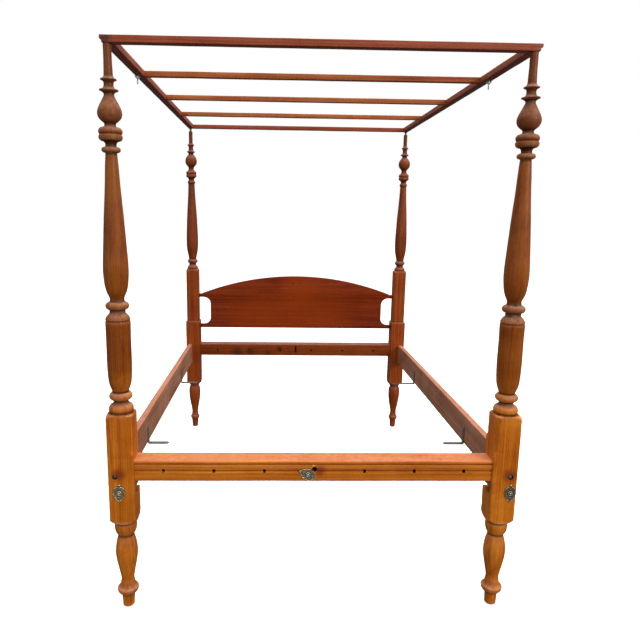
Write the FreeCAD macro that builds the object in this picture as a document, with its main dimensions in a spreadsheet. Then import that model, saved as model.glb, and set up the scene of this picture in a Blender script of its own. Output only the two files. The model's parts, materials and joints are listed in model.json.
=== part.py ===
import FreeCAD, Part
import os
import re
import Sketcher

# Four poster bed with a slatted tester (canopy frame) carried on its post tops.
# Millimetres.  +Z is up, the foot of the bed faces -Y, the origin lies on the floor
# under the middle of the bed.  "side" is -1 for the left half and +1 for the right half.

doc = FreeCAD.newDocument("FourPosterBed")
sheet = doc.addObject("Spreadsheet::Sheet", "Dimensions")

SIZES = {
    # plan of the bedstead
    "post_spread": 735,          # post axis from the middle plane
    "foot_line": -997,           # row of the foot posts
    "post_spacing": 2003,        # foot posts to head posts
    "post_square": 98,
    "block_bottom": 371,         # square block of a foot post
    "block_top": 812,
    "block_chamfer": 14,         # inner corners of a foot post's block
    "front_chamfer_stop": 658,
    "rear_chamfer_stop": 710,
    "notch_depth": 26,           # notch in the inner rear corner, under the foot rail
    "notch_bottom": 490,
    "head_block_bottom": 335,
    "head_block_top": 795,
    "head_shaft": 84,            # flat-sided shaft above the block of a head post
    "head_shaft_top": 1165,
    "foot_post_top": 2119,
    "head_post_top": 2098,
    # end rails
    "rail_square": 82,
    "rail_middle": 589,          # height of the middle of the end rails
    "rope_hole_radius": 6.5,
    "rope_line": 590,            # height of the rope groove and rope holes
    "head_rope_line": 587,
    "foot_rope_pitch": 192,
    "head_rope_pitch": 225,
    "stretcher_hole_height": 597,
    # side rails
    "side_rail_line": 757,
    "side_rail_thick": 30,
    "side_rail_depth": 130,
    "side_rail_bottom": 500,
    # joints of the rails
    "tenon_thick": 30,
    "tenon_depth": 60,
    "tenon_length": 30,
    "side_tenon_thick": 20,
    "side_tenon_length": 25,
    "bolt_radius": 5,
    "bolt_hole_radius": 5.5,
    "bolt_head": 13,
    "bolt_head_thick": 8,
    "bore_radius": 10,           # counterbore for the bolt head
    "bore_depth": 12,
    "side_bolt_height": 568,
    "end_bolt_height": 600,
    "nut_square": 20,
    "nut_thick": 8,
    "side_nut_reach": 60,        # shoulder of the rail to its nut
    "end_nut_reach": 86,
    "bolt_end_room": 12,         # bolt hole beyond the nut
    # headboard
    "headboard_thick": 22,
    "headboard_bottom": 746,
    "headboard_crown": 1119,
    "headboard_housing": 15,     # depth of the arms in the posts
    "headboard_gap": 612,        # inner end of the D-shaped gaps
    "lower_arm_top": 772,
    "upper_arm_bottom": 966,
    "upper_arm_top": 990,
    "plug_radius": 5,
    "plug_spread": 25,
    "plug_height": 1070,
    # hanger irons
    "hanger_width": 25,
    "hanger_thick": 4,
    "hanger_reach": 96,
    "hanger_seat": 497,
    "hanger_top": 585,
    "foot_hanger": 467,          # from the row of the foot posts
    "head_hanger": 1450,
    "screw_radius": 2,
    "screw_hole_radius": 2.2,
    "screw_length": 20,
    "screw_low": 528,
    "screw_high": 566,
    # tester
    "tester_bottom": 2119,
    "tester_thick": 24,
    "tester_width": 36,
    "tester_reach": 757,         # half length of its front and rear rails
    "tester_side_line": 732,
    "slat_width": 30,
    "slat_thick": 22,
    "slat_pitch": 500.75,
    "splice_inner": 414,         # splice shoulder at the rail's inner edge
    "splice_outer": 535,
    "splice_lap": 100,
    "nail_radius": 1.5,
    "nail_length": 22,
    "nail_inset": 9,             # corner nails from the middle of the end rails
    "nail_spread": 11,           # and inward from the side rails' line
    "pin_radius": 5,
    "pin_hole_radius": 5.5,
    "pin_top": 2140,
    "pin_bottom": 2060,
    "splice_bolt_radius": 3,
    "splice_bolt_end": 2084,
    # bed bolt covers
    "cover_hole_radius": 1.55,
    "cover_pin_radius": 1.5,
    "cover_gap": 0.3,
    "cover_plate": 2,
    "cover_pin_depth": 12,
    "cover_pivot_height": 534,
    "centre_pivot_height": 563,
}


def fill_sheet():
    for row, (alias, size) in enumerate(SIZES.items(), start=1):
        sheet.set("A%d" % row, alias)
        sheet.set("B%d" % row, str(size))
        sheet.setAlias("B%d" % row, alias)
    doc.recompute()


def size(formula):
    """The number that a formula written with the sheet's aliases stands for."""
    result = sheet.evalExpression(str(formula))
    return float(getattr(result, "Value", result))


def bound(formula):
    """The same formula as another object of the document has to write it."""
    def qualified(word):
        name = word.group(0)
        return "Dimensions." + name if name in SIZES else name
    return re.sub(r"[a-z_]+", qualified, str(formula))


def bind(thing, path, formula):
    thing.setExpression(path, bound(formula))


def ordered(first, second):
    return (first, second) if size(first) < size(second) else (second, first)


def new_body(label, x=0, y=0, z=0):
    body = doc.addObject("PartDesign::Body", label)
    body.Label = label
    for axis, formula in zip("xyz", (x, y, z)):
        bind(body, "Placement.Base." + axis, formula)
    return body


def new_sketch(body, name, plane, offset=0):
    """A sketch on one of the body's own origin planes, moved along its normal."""
    sketch = body.newObject("Sketcher::SketchObject", name)
    origin_plane = [item for item in body.Origin.OriginFeatures if item.Role == plane][0]
    sketch.AttachmentSupport = [(origin_plane, "")]
    sketch.MapMode = "FlatFace"
    bind(sketch, "AttachmentOffset.Base.z", offset)
    return sketch


def pin_down(sketch, element, position, x, y):
    """Dimensions one point of the sketch from the sketch's origin."""
    for kind, formula, axis in (("DistanceX", x, -2), ("DistanceY", y, -1)):
        if abs(size(formula)) < 1e-6:
            sketch.addConstraint(Sketcher.Constraint("PointOnObject", element, position, axis))
        else:
            rule = Sketcher.Constraint(kind, -1, 1, element, position, size(formula))
            bind(sketch, "Constraints[%d]" % sketch.addConstraint(rule), formula)


def polygon(sketch, points):
    """A closed outline of straight lines, every corner dimensioned from the sheet."""
    corners = [FreeCAD.Vector(size(x), size(y), 0) for x, y in points]
    first = sketch.GeometryCount
    count = len(points)
    for number in range(count):
        line = Part.LineSegment(corners[number], corners[(number + 1) % count])
        sketch.addGeometry(line)
    for number in range(count):
        following = first + (number + 1) % count
        sketch.addConstraint(
            Sketcher.Constraint("Coincident", first + number, 2, following, 1))
    for number, (x, y) in enumerate(points):
        pin_down(sketch, first + number, 1, x, y)


def rectangle(sketch, x_span, y_span):
    x_low, x_high = ordered(*x_span)
    y_low, y_high = ordered(*y_span)
    polygon(sketch, [(x_low, y_low), (x_high, y_low), (x_high, y_high), (x_low, y_high)])


def circles(sketch, centres, radius):
    for x, y in centres:
        spot = FreeCAD.Vector(size(x), size(y), 0)
        ring = sketch.addGeometry(Part.Circle(spot, FreeCAD.Vector(0, 0, 1), size(radius)))
        pin_down(sketch, ring, 3, x, y)
        rule = Sketcher.Constraint("Radius", ring, size(radius))
        bind(sketch, "Constraints[%d]" % sketch.addConstraint(rule), radius)


def outline(sketch, start, path):
    """An outline of lines, three-point arcs and smooth curves, closed by a last line.

    Each step is ("line", end), ("arc", middle, end) or ("curve", point, point, ...).
    """
    at = FreeCAD.Vector(start[0], start[1], 0)
    home = at
    for kind, *points in path:
        stops = [FreeCAD.Vector(x, y, 0) for x, y in points]
        if kind == "line":
            piece = Part.LineSegment(at, stops[0])
        elif kind == "arc":
            piece = Part.Arc(at, stops[0], stops[1])
        else:
            piece = Part.BSplineCurve()
            piece.interpolate([at] + stops)
        sketch.addGeometry(piece)
        at = stops[-1]
    if (at - home).Length > 1e-6:
        sketch.addGeometry(Part.LineSegment(at, home))


def pad(body, name, sketch, length, middle=False):
    feature = body.newObject("PartDesign::Pad", name)
    feature.Profile = sketch
    bind(feature, "Length", length)
    if middle:
        feature.SideType = "Symmetric"
    return feature


def pocket(body, name, sketch, length):
    feature = body.newObject("PartDesign::Pocket", name)
    feature.Profile = sketch
    bind(feature, "Length", length)
    return feature


def spin(body, name, sketch, kind="Revolution"):
    feature = body.newObject("PartDesign::" + kind, name)
    feature.Profile = sketch
    feature.ReferenceAxis = (sketch, ["V_Axis"])
    feature.Angle = 360
    return feature


# Each origin plane, with the sign that turns a place along its axis into a sketch offset.
PLANES = {"X": ("YZ_Plane", 1), "Y": ("XZ_Plane", -1), "Z": ("XY_Plane", 1)}


def sunk_sketch(body, name, axis, along):
    """A sketch at the end of a span from which a Pocket cuts the whole span."""
    low, high = ordered(*along)
    plane, sign = PLANES[axis]
    offset = high if sign > 0 else "-(%s)" % low
    return new_sketch(body, name + "Sketch", plane, offset), "(%s) - (%s)" % (high, low)


def cut_round(body, name, axis, centres, radius, along):
    sketch, length = sunk_sketch(body, name, axis, along)
    circles(sketch, centres, radius)
    pocket(body, name, sketch, length)


def cut_box(body, name, x_span, y_span, z_span):
    sketch, length = sunk_sketch(body, name, "Z", z_span)
    rectangle(sketch, x_span, y_span)
    pocket(body, name, sketch, length)


def cylinder(name, radius, length, place, turn=(0, 0, 1, 0)):
    rod = doc.addObject("Part::Cylinder", name)
    bind(rod, "Radius", radius)
    bind(rod, "Height", length)
    put(rod, place, turn)
    return rod


def put(thing, place, turn=(0, 0, 1, 0)):
    """Sets a placement: turn is an axis and an angle in degrees."""
    axis = FreeCAD.Vector(*turn[:3])
    thing.Placement = FreeCAD.Placement(FreeCAD.Vector(0, 0, 0), FreeCAD.Rotation(axis, turn[3]))
    for letter, formula in zip("xyz", place):
        bind(thing, "Placement.Base." + letter, formula)


def group(label, pieces):
    node = doc.addObject("Part::Compound", label)
    node.Label = label
    node.Links = pieces
    return node


# Turned outlines: radius and height of the points, from the floor up, one moulding to a step.

FOOT_POST_BELOW = [
    ("line", (17, 0)),
    ("arc", (21.2, 2.5), (22.5, 9)),                        # worn edge of the foot
    ("line", (25, 45)),
    ("line", (25.5, 56)),
    ("arc", (36, 61), (41, 73)),                            # flange round the foot
    ("arc", (41.3, 79), (38, 83)),
    ("arc", (31, 92), (27.5, 105)),
    ("curve", (25.5, 118), (28, 140), (34.7, 175), (40.9, 210), (42.8, 240),
     (40.5, 266), (35, 293), (31, 306)),                    # baluster
    ("line", (30, 310)),
    ("curve", (35.5, 317), (40.5, 329), (42.8, 343), (42.3, 356), (38.5, 371)),     # cushion
]

FOOT_POST_ABOVE = [
    ("line", (41, 812)),
    ("arc", (46, 825), (40, 841)),                          # bead on the block
    ("arc", (31, 846), (27, 856)),
    ("line", (30, 860)),
    ("arc", (43, 875), (30, 890)),
    ("curve", (31.5, 897), (36.5, 911), (41, 927), (43.5, 950), (45, 985), (45, 1110),
     (45.7, 1158)),                                         # lower column
    ("line", (43, 1163)),
    ("line", (45.2, 1167)),
    ("arc", (40, 1179), (29, 1190)),
    ("line", (28.9, 1203)),
    ("arc", (42.5, 1218), (28, 1232)),
    ("curve", (26, 1243), (32, 1260), (39.3, 1282), (43.6, 1312), (45.3, 1352),
     (43, 1405), (39.2, 1470), (33, 1562), (27, 1646), (22.4, 1728), (20, 1756)),   # long vase
    ("line", (21, 1760)),
    ("arc", (33, 1769), (21, 1778)),
    ("arc", (19.2, 1787), (26, 1798)),
    ("arc", (41, 1809), (37.5, 1821)),                      # two rings side by side
    ("arc", (41, 1833), (26, 1845)),
    ("arc", (19.5, 1853), (25, 1862)),
    ("curve", (38.8, 1877), (42, 1893), (38, 1909), (24.5, 1936), (17.8, 1950)),    # pear
    ("line", (18, 1957)),
    ("arc", (24, 1962), (32.5, 1966)),
    ("line", (32.5, 1969)),
    ("arc", (22, 1973), (16.8, 1984)),
    ("line", (16.8, 1992)),
    ("arc", (21, 1998), (27.5, 2001)),
    ("line", (27.5, 2004)),
    ("arc", (19, 2009), (15.5, 2020)),
    ("line", (14.2, 2066)),
    ("line", (14.2, 2119)),
    ("line", (0, 2119)),
]

HEAD_POST_BELOW = [
    ("line", (15, 0)),
    ("arc", (18, 3), (18.7, 9)),
    ("line", (21.5, 30)),
    ("line", (23, 58)),
    ("arc", (31, 74), (24, 90)),
    ("curve", (21.5, 108), (25.6, 151), (31.5, 181), (36.3, 212), (40.5, 264),
     (35.6, 304), (29, 319)),
    ("line", (31, 321)),
    ("arc", (38, 328), (33, 335)),
]

HEAD_POST_ABOVE = [
    ("line", (38, 1163)),
    ("arc", (35, 1180), (24, 1192)),
    ("line", (24, 1206)),
    ("arc", (34.5, 1220), (25, 1234)),
    ("curve", (26, 1243), (31, 1269), (36.5, 1297), (39.7, 1340), (40, 1376), (37, 1464),
     (32.5, 1547), (27, 1629), (23, 1700), (21, 1752)),
    ("arc", (26, 1762), (20, 1772)),
    ("arc", (18.5, 1782), (24, 1792)),
    ("arc", (34.5, 1804), (31.5, 1815)),
    ("arc", (34.5, 1826), (24, 1838)),
    ("arc", (17.5, 1852), (22, 1868)),
    ("curve", (33, 1880), (39, 1903), (33, 1926), (18, 1946)),
    ("line", (16, 1953)),
    ("arc", (21, 1959), (28, 1963)),
    ("line", (28, 1966)),
    ("arc", (18, 1973), (15, 1985)),
    ("line", (15, 1997)),
    ("arc", (18, 2004), (23.5, 2008)),
    ("line", (23.5, 2011)),
    ("arc", (15.5, 2018), (12.5, 2034)),
    ("line", (12.5, 2098)),
    ("line", (0, 2098)),
]


def turned(body, below, above):
    """The round stretches below and above the square block, as one turned core."""
    sketch = new_sketch(body, "TurnedOutline", "XZ_Plane")
    outline(sketch, (0, 0), below + above)
    spin(body, "Turning", sketch)


def round_shoulders(body, name, low, high):
    """Rounds the corners of the square block down to the turning at one end."""
    sketch = new_sketch(body, name + "Outline", "XZ_Plane")
    reach = 75
    middle_rise = low[1] + (high[1] - low[1]) * 0.3
    middle = (low[0] + (high[0] - low[0]) * 0.72, middle_rise)
    outline(sketch, low, [("arc", middle, high), ("line", (reach, high[1])), ("line", (reach, low[1]))])
    spin(body, name, sketch, "Groove")


def cut_rail_joints(body, side, inward):
    """Mortises and bolt holes in a post.  inward is +1 where the bed lies towards +Y."""
    half = "post_square / 2"
    tenon_top = "rail_middle + tenon_depth / 2"
    tenon_floor = "rail_middle - tenon_depth / 2"
    inner_face = "%d * (%s)" % (-side, half)
    outer_face = "%d * (%s)" % (side, half)
    mortise_end = "%d * (%s - tenon_length)" % (-side, half)
    cut_box(body, "EndRailMortise", (inner_face, mortise_end),
            ("-tenon_thick / 2", "tenon_thick / 2"), (tenon_floor, tenon_top))

    rail_x = "%d * (side_rail_line - post_spread)" % side
    rail_face = "%d * (%s)" % (inward, half)
    bolt_face = "%d * (%s)" % (-inward, half)
    side_mortise_end = "%d * (%s - side_tenon_length)" % (inward, half)
    side_middle = "side_rail_bottom + side_rail_depth / 2"
    cut_box(body, "SideRailMortise",
            (rail_x + " - side_tenon_thick / 2", rail_x + " + side_tenon_thick / 2"),
            (rail_face, side_mortise_end),
            (side_middle + " - tenon_depth / 2", side_middle + " + tenon_depth / 2"))

    cut_round(body, "SideBoltHole", "Y", [(rail_x, "side_bolt_height")], "bolt_hole_radius",
              (bolt_face, side_mortise_end))
    cut_round(body, "SideBoltBore", "Y", [(rail_x, "side_bolt_height")], "bore_radius",
              (bolt_face, "%d * (%s - bore_depth)" % (-inward, half)))
    cut_round(body, "EndBoltHole", "X", [(0, "end_bolt_height")], "bolt_hole_radius",
              (outer_face, mortise_end))
    cut_round(body, "EndBoltBore", "X", [(0, "end_bolt_height")], "bore_radius",
              (outer_face, "%d * (%s - bore_depth)" % (side, half)))


def foot_post(label, side):
    body = new_body(label, "%d * post_spread" % side, "foot_line")
    block = new_sketch(body, "BlockSquare", "XY_Plane", "block_bottom")
    rectangle(block, ("-post_square / 2", "post_square / 2"), ("-post_square / 2", "post_square / 2"))
    pad(body, "Block", block, "block_top - block_bottom")
    round_shoulders(body, "LowerShoulder", (38.5, 370), (70, 402))
    round_shoulders(body, "UpperShoulder", (43, 813), (70, 786))
    turned(body, FOOT_POST_BELOW, FOOT_POST_ABOVE)
    cut_rail_joints(body, side, 1)

    corner = "%d * post_square / 2" % -side
    for name, way, stop in (("Front", -1, "front_chamfer_stop"), ("Rear", 1, "rear_chamfer_stop")):
        edge = "%d * post_square / 2" % way
        chamfer = new_sketch(body, name + "ChamferOutline", "XY_Plane", "block_top")
        polygon(chamfer, [(corner, edge),
                          ("%s + %d * block_chamfer" % (corner, side), edge),
                          (corner, "%s - %d * block_chamfer" % (edge, way))])
        pocket(body, name + "Chamfer", chamfer, "block_top - " + stop)
    cut_box(body, "RearNotch", (corner, "%s + %d * notch_depth" % (corner, side)),
            ("-post_square / 4", "post_square / 2"), ("notch_bottom", "notch_bottom + 26"))
    cut_round(body, "CoverPinHole", "Y", [(cover_pivot_x(side), "cover_pivot_height")],
              "cover_pin_radius", ("-post_square / 2", "-post_square / 2 + cover_pin_depth"))
    cut_round(body, "TesterPinHole", "Z", [(0, 0)], "pin_radius", ("pin_bottom", "foot_post_top"))
    return body


def cover_pivot_x(side):
    """The cover pin's place across a foot post, from the post's axis."""
    return -8 if side < 0 else 24


def head_post(label, side):
    body = new_body(label, "%d * post_spread" % side, "foot_line + post_spacing")
    block = new_sketch(body, "BlockSquare", "XY_Plane", "head_block_bottom")
    rectangle(block, ("-post_square / 2", "post_square / 2"), ("-post_square / 2", "post_square / 2"))
    pad(body, "Block", block, "head_block_top - head_block_bottom")
    round_shoulders(body, "LowerShoulder", (34, 334), (70, 372))
    shaft = new_sketch(body, "ShaftOutline", "XY_Plane", "head_block_top")
    flat = "head_shaft / 2"
    cut = "(head_shaft / 2 - 15)"
    polygon(shaft, [(flat, "-" + cut), (flat, cut), (cut, flat), ("-" + cut, flat),
                    ("-(%s)" % flat, cut), ("-(%s)" % flat, "-" + cut),
                    ("-" + cut, "-(%s)" % flat), (cut, "-(%s)" % flat)])
    pad(body, "Shaft", shaft, "head_shaft_top - head_block_top")
    round_shoulders(body, "UpperShoulder", (36, 1166), (50, 1146))
    turned(body, HEAD_POST_BELOW, HEAD_POST_ABOVE)
    cut_rail_joints(body, side, -1)

    face = "%d * post_square / 2" % -side
    shaft_face = "%d * head_shaft / 2" % -side
    housing = "%d * headboard_housing" % side
    slot = ("-headboard_thick / 2", "headboard_thick / 2")
    cut_box(body, "LowerArmHousing", (face, face + " + " + housing), slot,
            ("headboard_bottom", "lower_arm_top"))
    cut_box(body, "UpperArmHousing", (shaft_face, shaft_face + " + " + housing), slot,
            ("upper_arm_bottom", "upper_arm_top"))
    cut_round(body, "CornerScoop", "Z", [(face, "-post_square / 2")], 12, (472, 492))
    cut_round(body, "TesterPinHole", "Z", [(0, 0)], "pin_radius", ("pin_bottom", "head_post_top"))
    return body


def end_rail(label, line, section):
    """A square rail between two posts: its section along X, its tenons and bolt holes."""
    body = new_body(label, 0, line, "rail_middle")
    sketch = new_sketch(body, "Section", "YZ_Plane")
    outline(sketch, section[0], section[1])
    clear = "2 * post_spread - post_square"
    pad(body, "Rail", sketch, clear, middle=True)
    tenon = new_sketch(body, "TenonSection", "YZ_Plane")
    rectangle(tenon, ("-tenon_thick / 2", "tenon_thick / 2"), ("-tenon_depth / 2", "tenon_depth / 2"))
    pad(body, "Tenons", tenon, clear + " + 2 * tenon_length", middle=True)
    bolt_line = "end_bolt_height - rail_middle"
    shoulder = "(post_spread - post_square / 2)"
    for side, end in ((-1, "Left"), (1, "Right")):
        nut = "%d * (%s - end_nut_reach)" % (side, shoulder)
        cut_round(body, end + "BoltHole", "X", [(0, bolt_line)], "bolt_hole_radius",
                  ("%d * (%s + tenon_length)" % (side, shoulder),
                   "%s - %d * (nut_thick + bolt_end_room)" % (nut, side)))
        cut_box(body, end + "NutSlot", (nut, "%s - %d * nut_thick" % (nut, side)),
                ("-nut_square / 2", "nut_square / 2"),
                ("-rail_square / 2", bolt_line + " + nut_square / 2"))
    return body


def rope_holes(body, places, height, front):
    cut_round(body, "RopeHoles", "Y", [(place, height + " - rail_middle") for place in places],
              "rope_hole_radius", ("-" + front, front))


def foot_rail():
    # Section from the rear bottom corner round to the front: beaded top edge, quirk, rope groove.
    section = ((41, -41), [
        ("line", (41, 38)), ("arc", (40.1, 40.1), (38, 41)), ("line", (-34, 41)),
        ("arc", (-39.1, 39.2), (-41, 34)), ("line", (-41, 29)), ("line", (-38.5, 28)),
        ("line", (-38.5, 25.5)), ("line", (-41, 24)), ("line", (-41, 5)),
        ("arc", (-37.5, 1), (-41, -3)), ("line", (-41, -38)), ("arc", (-40.1, -40.1), (-38, -41)),
    ])
    body = end_rail("foot_rail", "foot_line", section)
    places = ["%d * foot_rope_pitch" % step for step in (-3, -2, -1, 1, 2, 3)]
    rope_holes(body, places, "rope_line", "rail_square / 2")
    centre = [(0, "stretcher_hole_height - rail_middle")]
    front = "-rail_square / 2"
    cut_round(body, "StretcherBoltHole", "Y", centre, "bolt_hole_radius", (front, "rail_square / 2"))
    cut_round(body, "StretcherBoltBore", "Y", centre, "bore_radius", (front, front + " + bore_depth"))
    cut_round(body, "CoverPinHole", "Y", [(3, "centre_pivot_height - rail_middle")],
              "cover_pin_radius", (front, front + " + cover_pin_depth"))
    return body


def head_rail():
    section = ((41, -41), [
        ("line", (41, 38)), ("arc", (40.1, 40.1), (38, 41)), ("line", (-37, 41)),
        ("arc", (-39.8, 39.8), (-41, 37)), ("line", (-41, -38)),
        ("arc", (-40.1, -40.1), (-38, -41)),
    ])
    body = end_rail("head_rail", "foot_line + post_spacing", section)
    places = ["%s * head_rope_pitch" % step for step in (-2.5, -1.5, -0.5, 0.5, 1.5, 2.5)]
    rope_holes(body, places, "head_rope_line", "rail_square / 2")
    cut_box(body, "StretcherMortise", (-6, 6), ("-rail_square / 2", "-rail_square / 2 + 30"), (-20, 30))
    return body


def hanger_places():
    """Y of the hanger irons, from the middle of the side rails."""
    return {"foot": "foot_hanger - post_spacing / 2", "head": "head_hanger - post_spacing / 2"}


def side_rail(label, side):
    """A plank on edge between a foot post and a head post."""
    middle = "side_rail_bottom + side_rail_depth / 2"
    body = new_body(label, "%d * side_rail_line" % side, "foot_line + post_spacing / 2", middle)
    wide = SIZES["side_rail_thick"] / 2
    tall = SIZES["side_rail_depth"] / 2
    sketch = new_sketch(body, "Section", "XZ_Plane")
    outline(sketch, (-wide, -tall), [
        ("line", (wide, -tall)), ("line", (wide, tall - 4)),
        ("arc", (wide - 1.2, tall - 1.2), (wide - 4, tall)), ("line", (4 - wide, tall)),
        ("arc", (1.2 - wide, tall - 1.2), (-wide, tall - 4)),
    ])
    clear = "post_spacing - post_square"
    pad(body, "Plank", sketch, clear, middle=True)
    tenon = new_sketch(body, "TenonSection", "XZ_Plane")
    rectangle(tenon, ("-side_tenon_thick / 2", "side_tenon_thick / 2"),
              ("-tenon_depth / 2", "tenon_depth / 2"))
    pad(body, "Tenons", tenon, clear + " + 2 * side_tenon_length", middle=True)
    bolt_line = "side_bolt_height - (%s)" % middle
    inner_face = "%d * side_rail_thick / 2" % -side
    for end, name in ((-1, "Foot"), (1, "Head")):
        nut = "%d * ((%s) / 2 - side_nut_reach)" % (end, clear)
        cut_round(body, name + "BoltHole", "Y", [(0, bolt_line)], "bolt_hole_radius",
                  ("%d * ((%s) / 2 + side_tenon_length)" % (end, clear),
                   "%s - %d * (nut_thick + bolt_end_room)" % (nut, end)))
        cut_box(body, name + "NutSlot", (inner_face, "%d * nut_square / 2" % side),
                (nut, "%s - %d * nut_thick" % (nut, end)),
                (bolt_line + " - nut_square / 2", bolt_line + " + nut_square / 2"))
    for name, place in hanger_places().items():
        heights = [(place, "%s - (%s)" % (level, middle)) for level in ("screw_low", "screw_high")]
        cut_round(body, name.title() + "ScrewHoles", "X", heights, "screw_radius",
                  (inner_face, "%s + %d * (screw_length - hanger_thick)" % (inner_face, side)))
    return body


def headboard():
    """An arched board whose four arms reach the posts round a D-shaped gap at each end."""
    body = new_body("headboard", 0, "foot_line + post_spacing", 0)
    bottom = SIZES["headboard_bottom"]
    crown = SIZES["headboard_crown"]
    lower_tip = SIZES["post_spread"] - SIZES["post_square"] / 2 + SIZES["headboard_housing"]
    upper_tip = SIZES["post_spread"] - SIZES["head_shaft"] / 2 + SIZES["headboard_housing"]
    gap = SIZES["headboard_gap"]
    low = SIZES["lower_arm_top"]
    high = SIZES["upper_arm_bottom"]
    top = SIZES["upper_arm_top"]
    sketch = new_sketch(body, "BoardOutline", "XZ_Plane")
    outline(sketch, (-lower_tip, bottom), [
        ("line", (lower_tip, bottom)), ("line", (lower_tip, low)), ("line", (gap + 48, low)),
        ("arc", (gap + 12, low + 16), (gap, low + 54)), ("line", (gap, high - 54)),
        ("arc", (gap + 12, high - 16), (gap + 48, high)), ("line", (upper_tip, high)),
        ("line", (upper_tip, top)), ("line", (gap + 60, top)), ("line", (gap + 50, top + 6)),
        ("arc", (0, crown), (-gap - 50, top + 6)), ("line", (-gap - 60, top)),
        ("line", (-upper_tip, top)), ("line", (-upper_tip, high)), ("line", (-gap - 48, high)),
        ("arc", (-gap - 12, high - 16), (-gap, high - 54)), ("line", (-gap, low + 54)),
        ("arc", (-gap - 12, low + 16), (-gap - 48, low)), ("line", (-lower_tip, low)),
    ])
    pad(body, "Board", sketch, "headboard_thick", middle=True)
    cut_round(body, "PlugHoles", "Y", [("-plug_spread", "plug_height"), ("plug_spread", "plug_height")],
              "plug_radius", ("-headboard_thick / 2", "headboard_thick / 2"))
    return body


def headboard_plugs():
    plugs = []
    for side in (-1, 1):
        place = ("%d * plug_spread" % side, "foot_line + post_spacing + headboard_thick / 2", "plug_height")
        plugs.append(cylinder("Plug", "plug_radius", "headboard_thick", place, (1, 0, 0, 90)))
    return group("headboard_plugs", plugs)


def hanger(label, side, place):
    """An angle iron: a rounded foot that carries the mattress base, a leg on the rail."""
    rail_face = "%d * (side_rail_line - side_rail_thick / 2)" % side
    body = new_body(label, rail_face, "foot_line + post_spacing / 2 + (%s)" % place)
    half = SIZES["hanger_width"] / 2
    reach = -side * SIZES["hanger_reach"]
    turn = -side * (SIZES["hanger_reach"] - half)
    foot = new_sketch(body, "FootOutline", "XY_Plane", "hanger_seat - hanger_thick")
    outline(foot, (0, -half), [("line", (turn, -half)), ("arc", (reach, 0), (turn, half)),
                               ("line", (0, half))])
    pad(body, "Foot", foot, "hanger_thick")
    leg_plane = "%d * hanger_thick" % -side if side > 0 else 0
    leg = new_sketch(body, "LegOutline", "YZ_Plane", leg_plane)
    low = SIZES["hanger_seat"] - SIZES["hanger_thick"]
    high = SIZES["hanger_top"]
    outline(leg, (-half, low), [("line", (half, low)), ("line", (half, high - half)),
                                ("arc", (0, high), (-half, high - half))])
    pad(body, "Leg", leg, "hanger_thick")
    cut_round(body, "ScrewHoles", "X", [(0, "screw_low"), (0, "screw_high")], "screw_hole_radius",
              (0, "%d * hanger_thick" % -side))
    return body


def hanger_screws():
    screws = []
    for side in (-1, 1):
        face = "%d * (side_rail_line - side_rail_thick / 2 - hanger_thick)" % side
        head = "%d * (side_rail_line - side_rail_thick / 2 - hanger_thick - 2.5)" % side
        for place in hanger_places().values():
            line = "foot_line + post_spacing / 2 + (%s)" % place
            for level in ("screw_low", "screw_high"):
                shank = cylinder("ScrewShank", "screw_radius", "screw_length", (face, line, level),
                                 (0, 1, 0, 90 * side))
                cap = cylinder("ScrewHead", 4.5, 2.5, (head, line, level), (0, 1, 0, 90 * side))
                screw = doc.addObject("Part::Fuse", "Screw")
                screw.Base = cap
                screw.Tool = shank
                screws.append(screw)
    return group("hanger_screws", screws)


def bed_bolt(start, length, turn):
    """A square-headed bolt whose head rests on the floor of its counterbore at start."""
    shank = cylinder("BoltShank", "bolt_radius", length, (0, 0, 0))
    head = doc.addObject("Part::Box", "BoltHead")
    for edge, formula in (("Length", "bolt_head"), ("Width", "bolt_head"), ("Height", "bolt_head_thick")):
        bind(head, edge, formula)
    put(head, ("-bolt_head / 2", "-bolt_head / 2", "-bolt_head_thick"))
    bolt = doc.addObject("Part::Fuse", "BedBolt")
    bolt.Base = head
    bolt.Tool = shank
    put(bolt, start, turn)
    return bolt


def bed_nut(place, turn):
    block = doc.addObject("Part::Box", "NutBlock")
    for edge, formula in (("Length", "nut_square"), ("Width", "nut_square"), ("Height", "nut_thick")):
        bind(block, edge, formula)
    put(block, ("-nut_square / 2", "-nut_square / 2", 0))
    bore = cylinder("NutBore", "bolt_radius", "nut_thick", (0, 0, 0))
    nut = doc.addObject("Part::Cut", "Nut")
    nut.Base = block
    nut.Tool = bore
    put(nut, place, turn)
    return nut


def bolts_and_nuts():
    """Bed bolts of the side rails (along Y) and of the end rails (along X), with their nuts."""
    side_bolts = []
    end_bolts = []
    nuts = []
    seat = "post_square / 2 - bore_depth"
    for side in (-1, 1):
        rail_x = "%d * side_rail_line" % side
        for line, inward in (("foot_line", 1), ("foot_line + post_spacing", -1)):
            turn = (1, 0, 0, -90 * inward)
            start = "%s - %d * (%s)" % (line, inward, seat)
            length = "%s + post_square / 2 + side_nut_reach + nut_thick + 8" % seat
            side_bolts.append(bed_bolt((rail_x, start, "side_bolt_height"), length, turn))
            nut = "%s + %d * (post_square / 2 + side_nut_reach)" % (line, inward)
            nuts.append(bed_nut((rail_x, nut, "side_bolt_height"), turn))

            turn = (0, 1, 0, -90 * side)
            start = "%d * (post_spread + %s)" % (side, seat)
            length = "%s + post_square / 2 + end_nut_reach + nut_thick + 8" % seat
            end_bolts.append(bed_bolt((start, line, "end_bolt_height"), length, turn))
            nut = "%d * (post_spread - post_square / 2 - end_nut_reach)" % side
            nuts.append(bed_nut((nut, line, "end_bolt_height"), turn))
    return [group("side_bed_bolts", side_bolts), group("end_bed_bolts", end_bolts),
            group("bed_bolt_nuts", nuts)]


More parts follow.
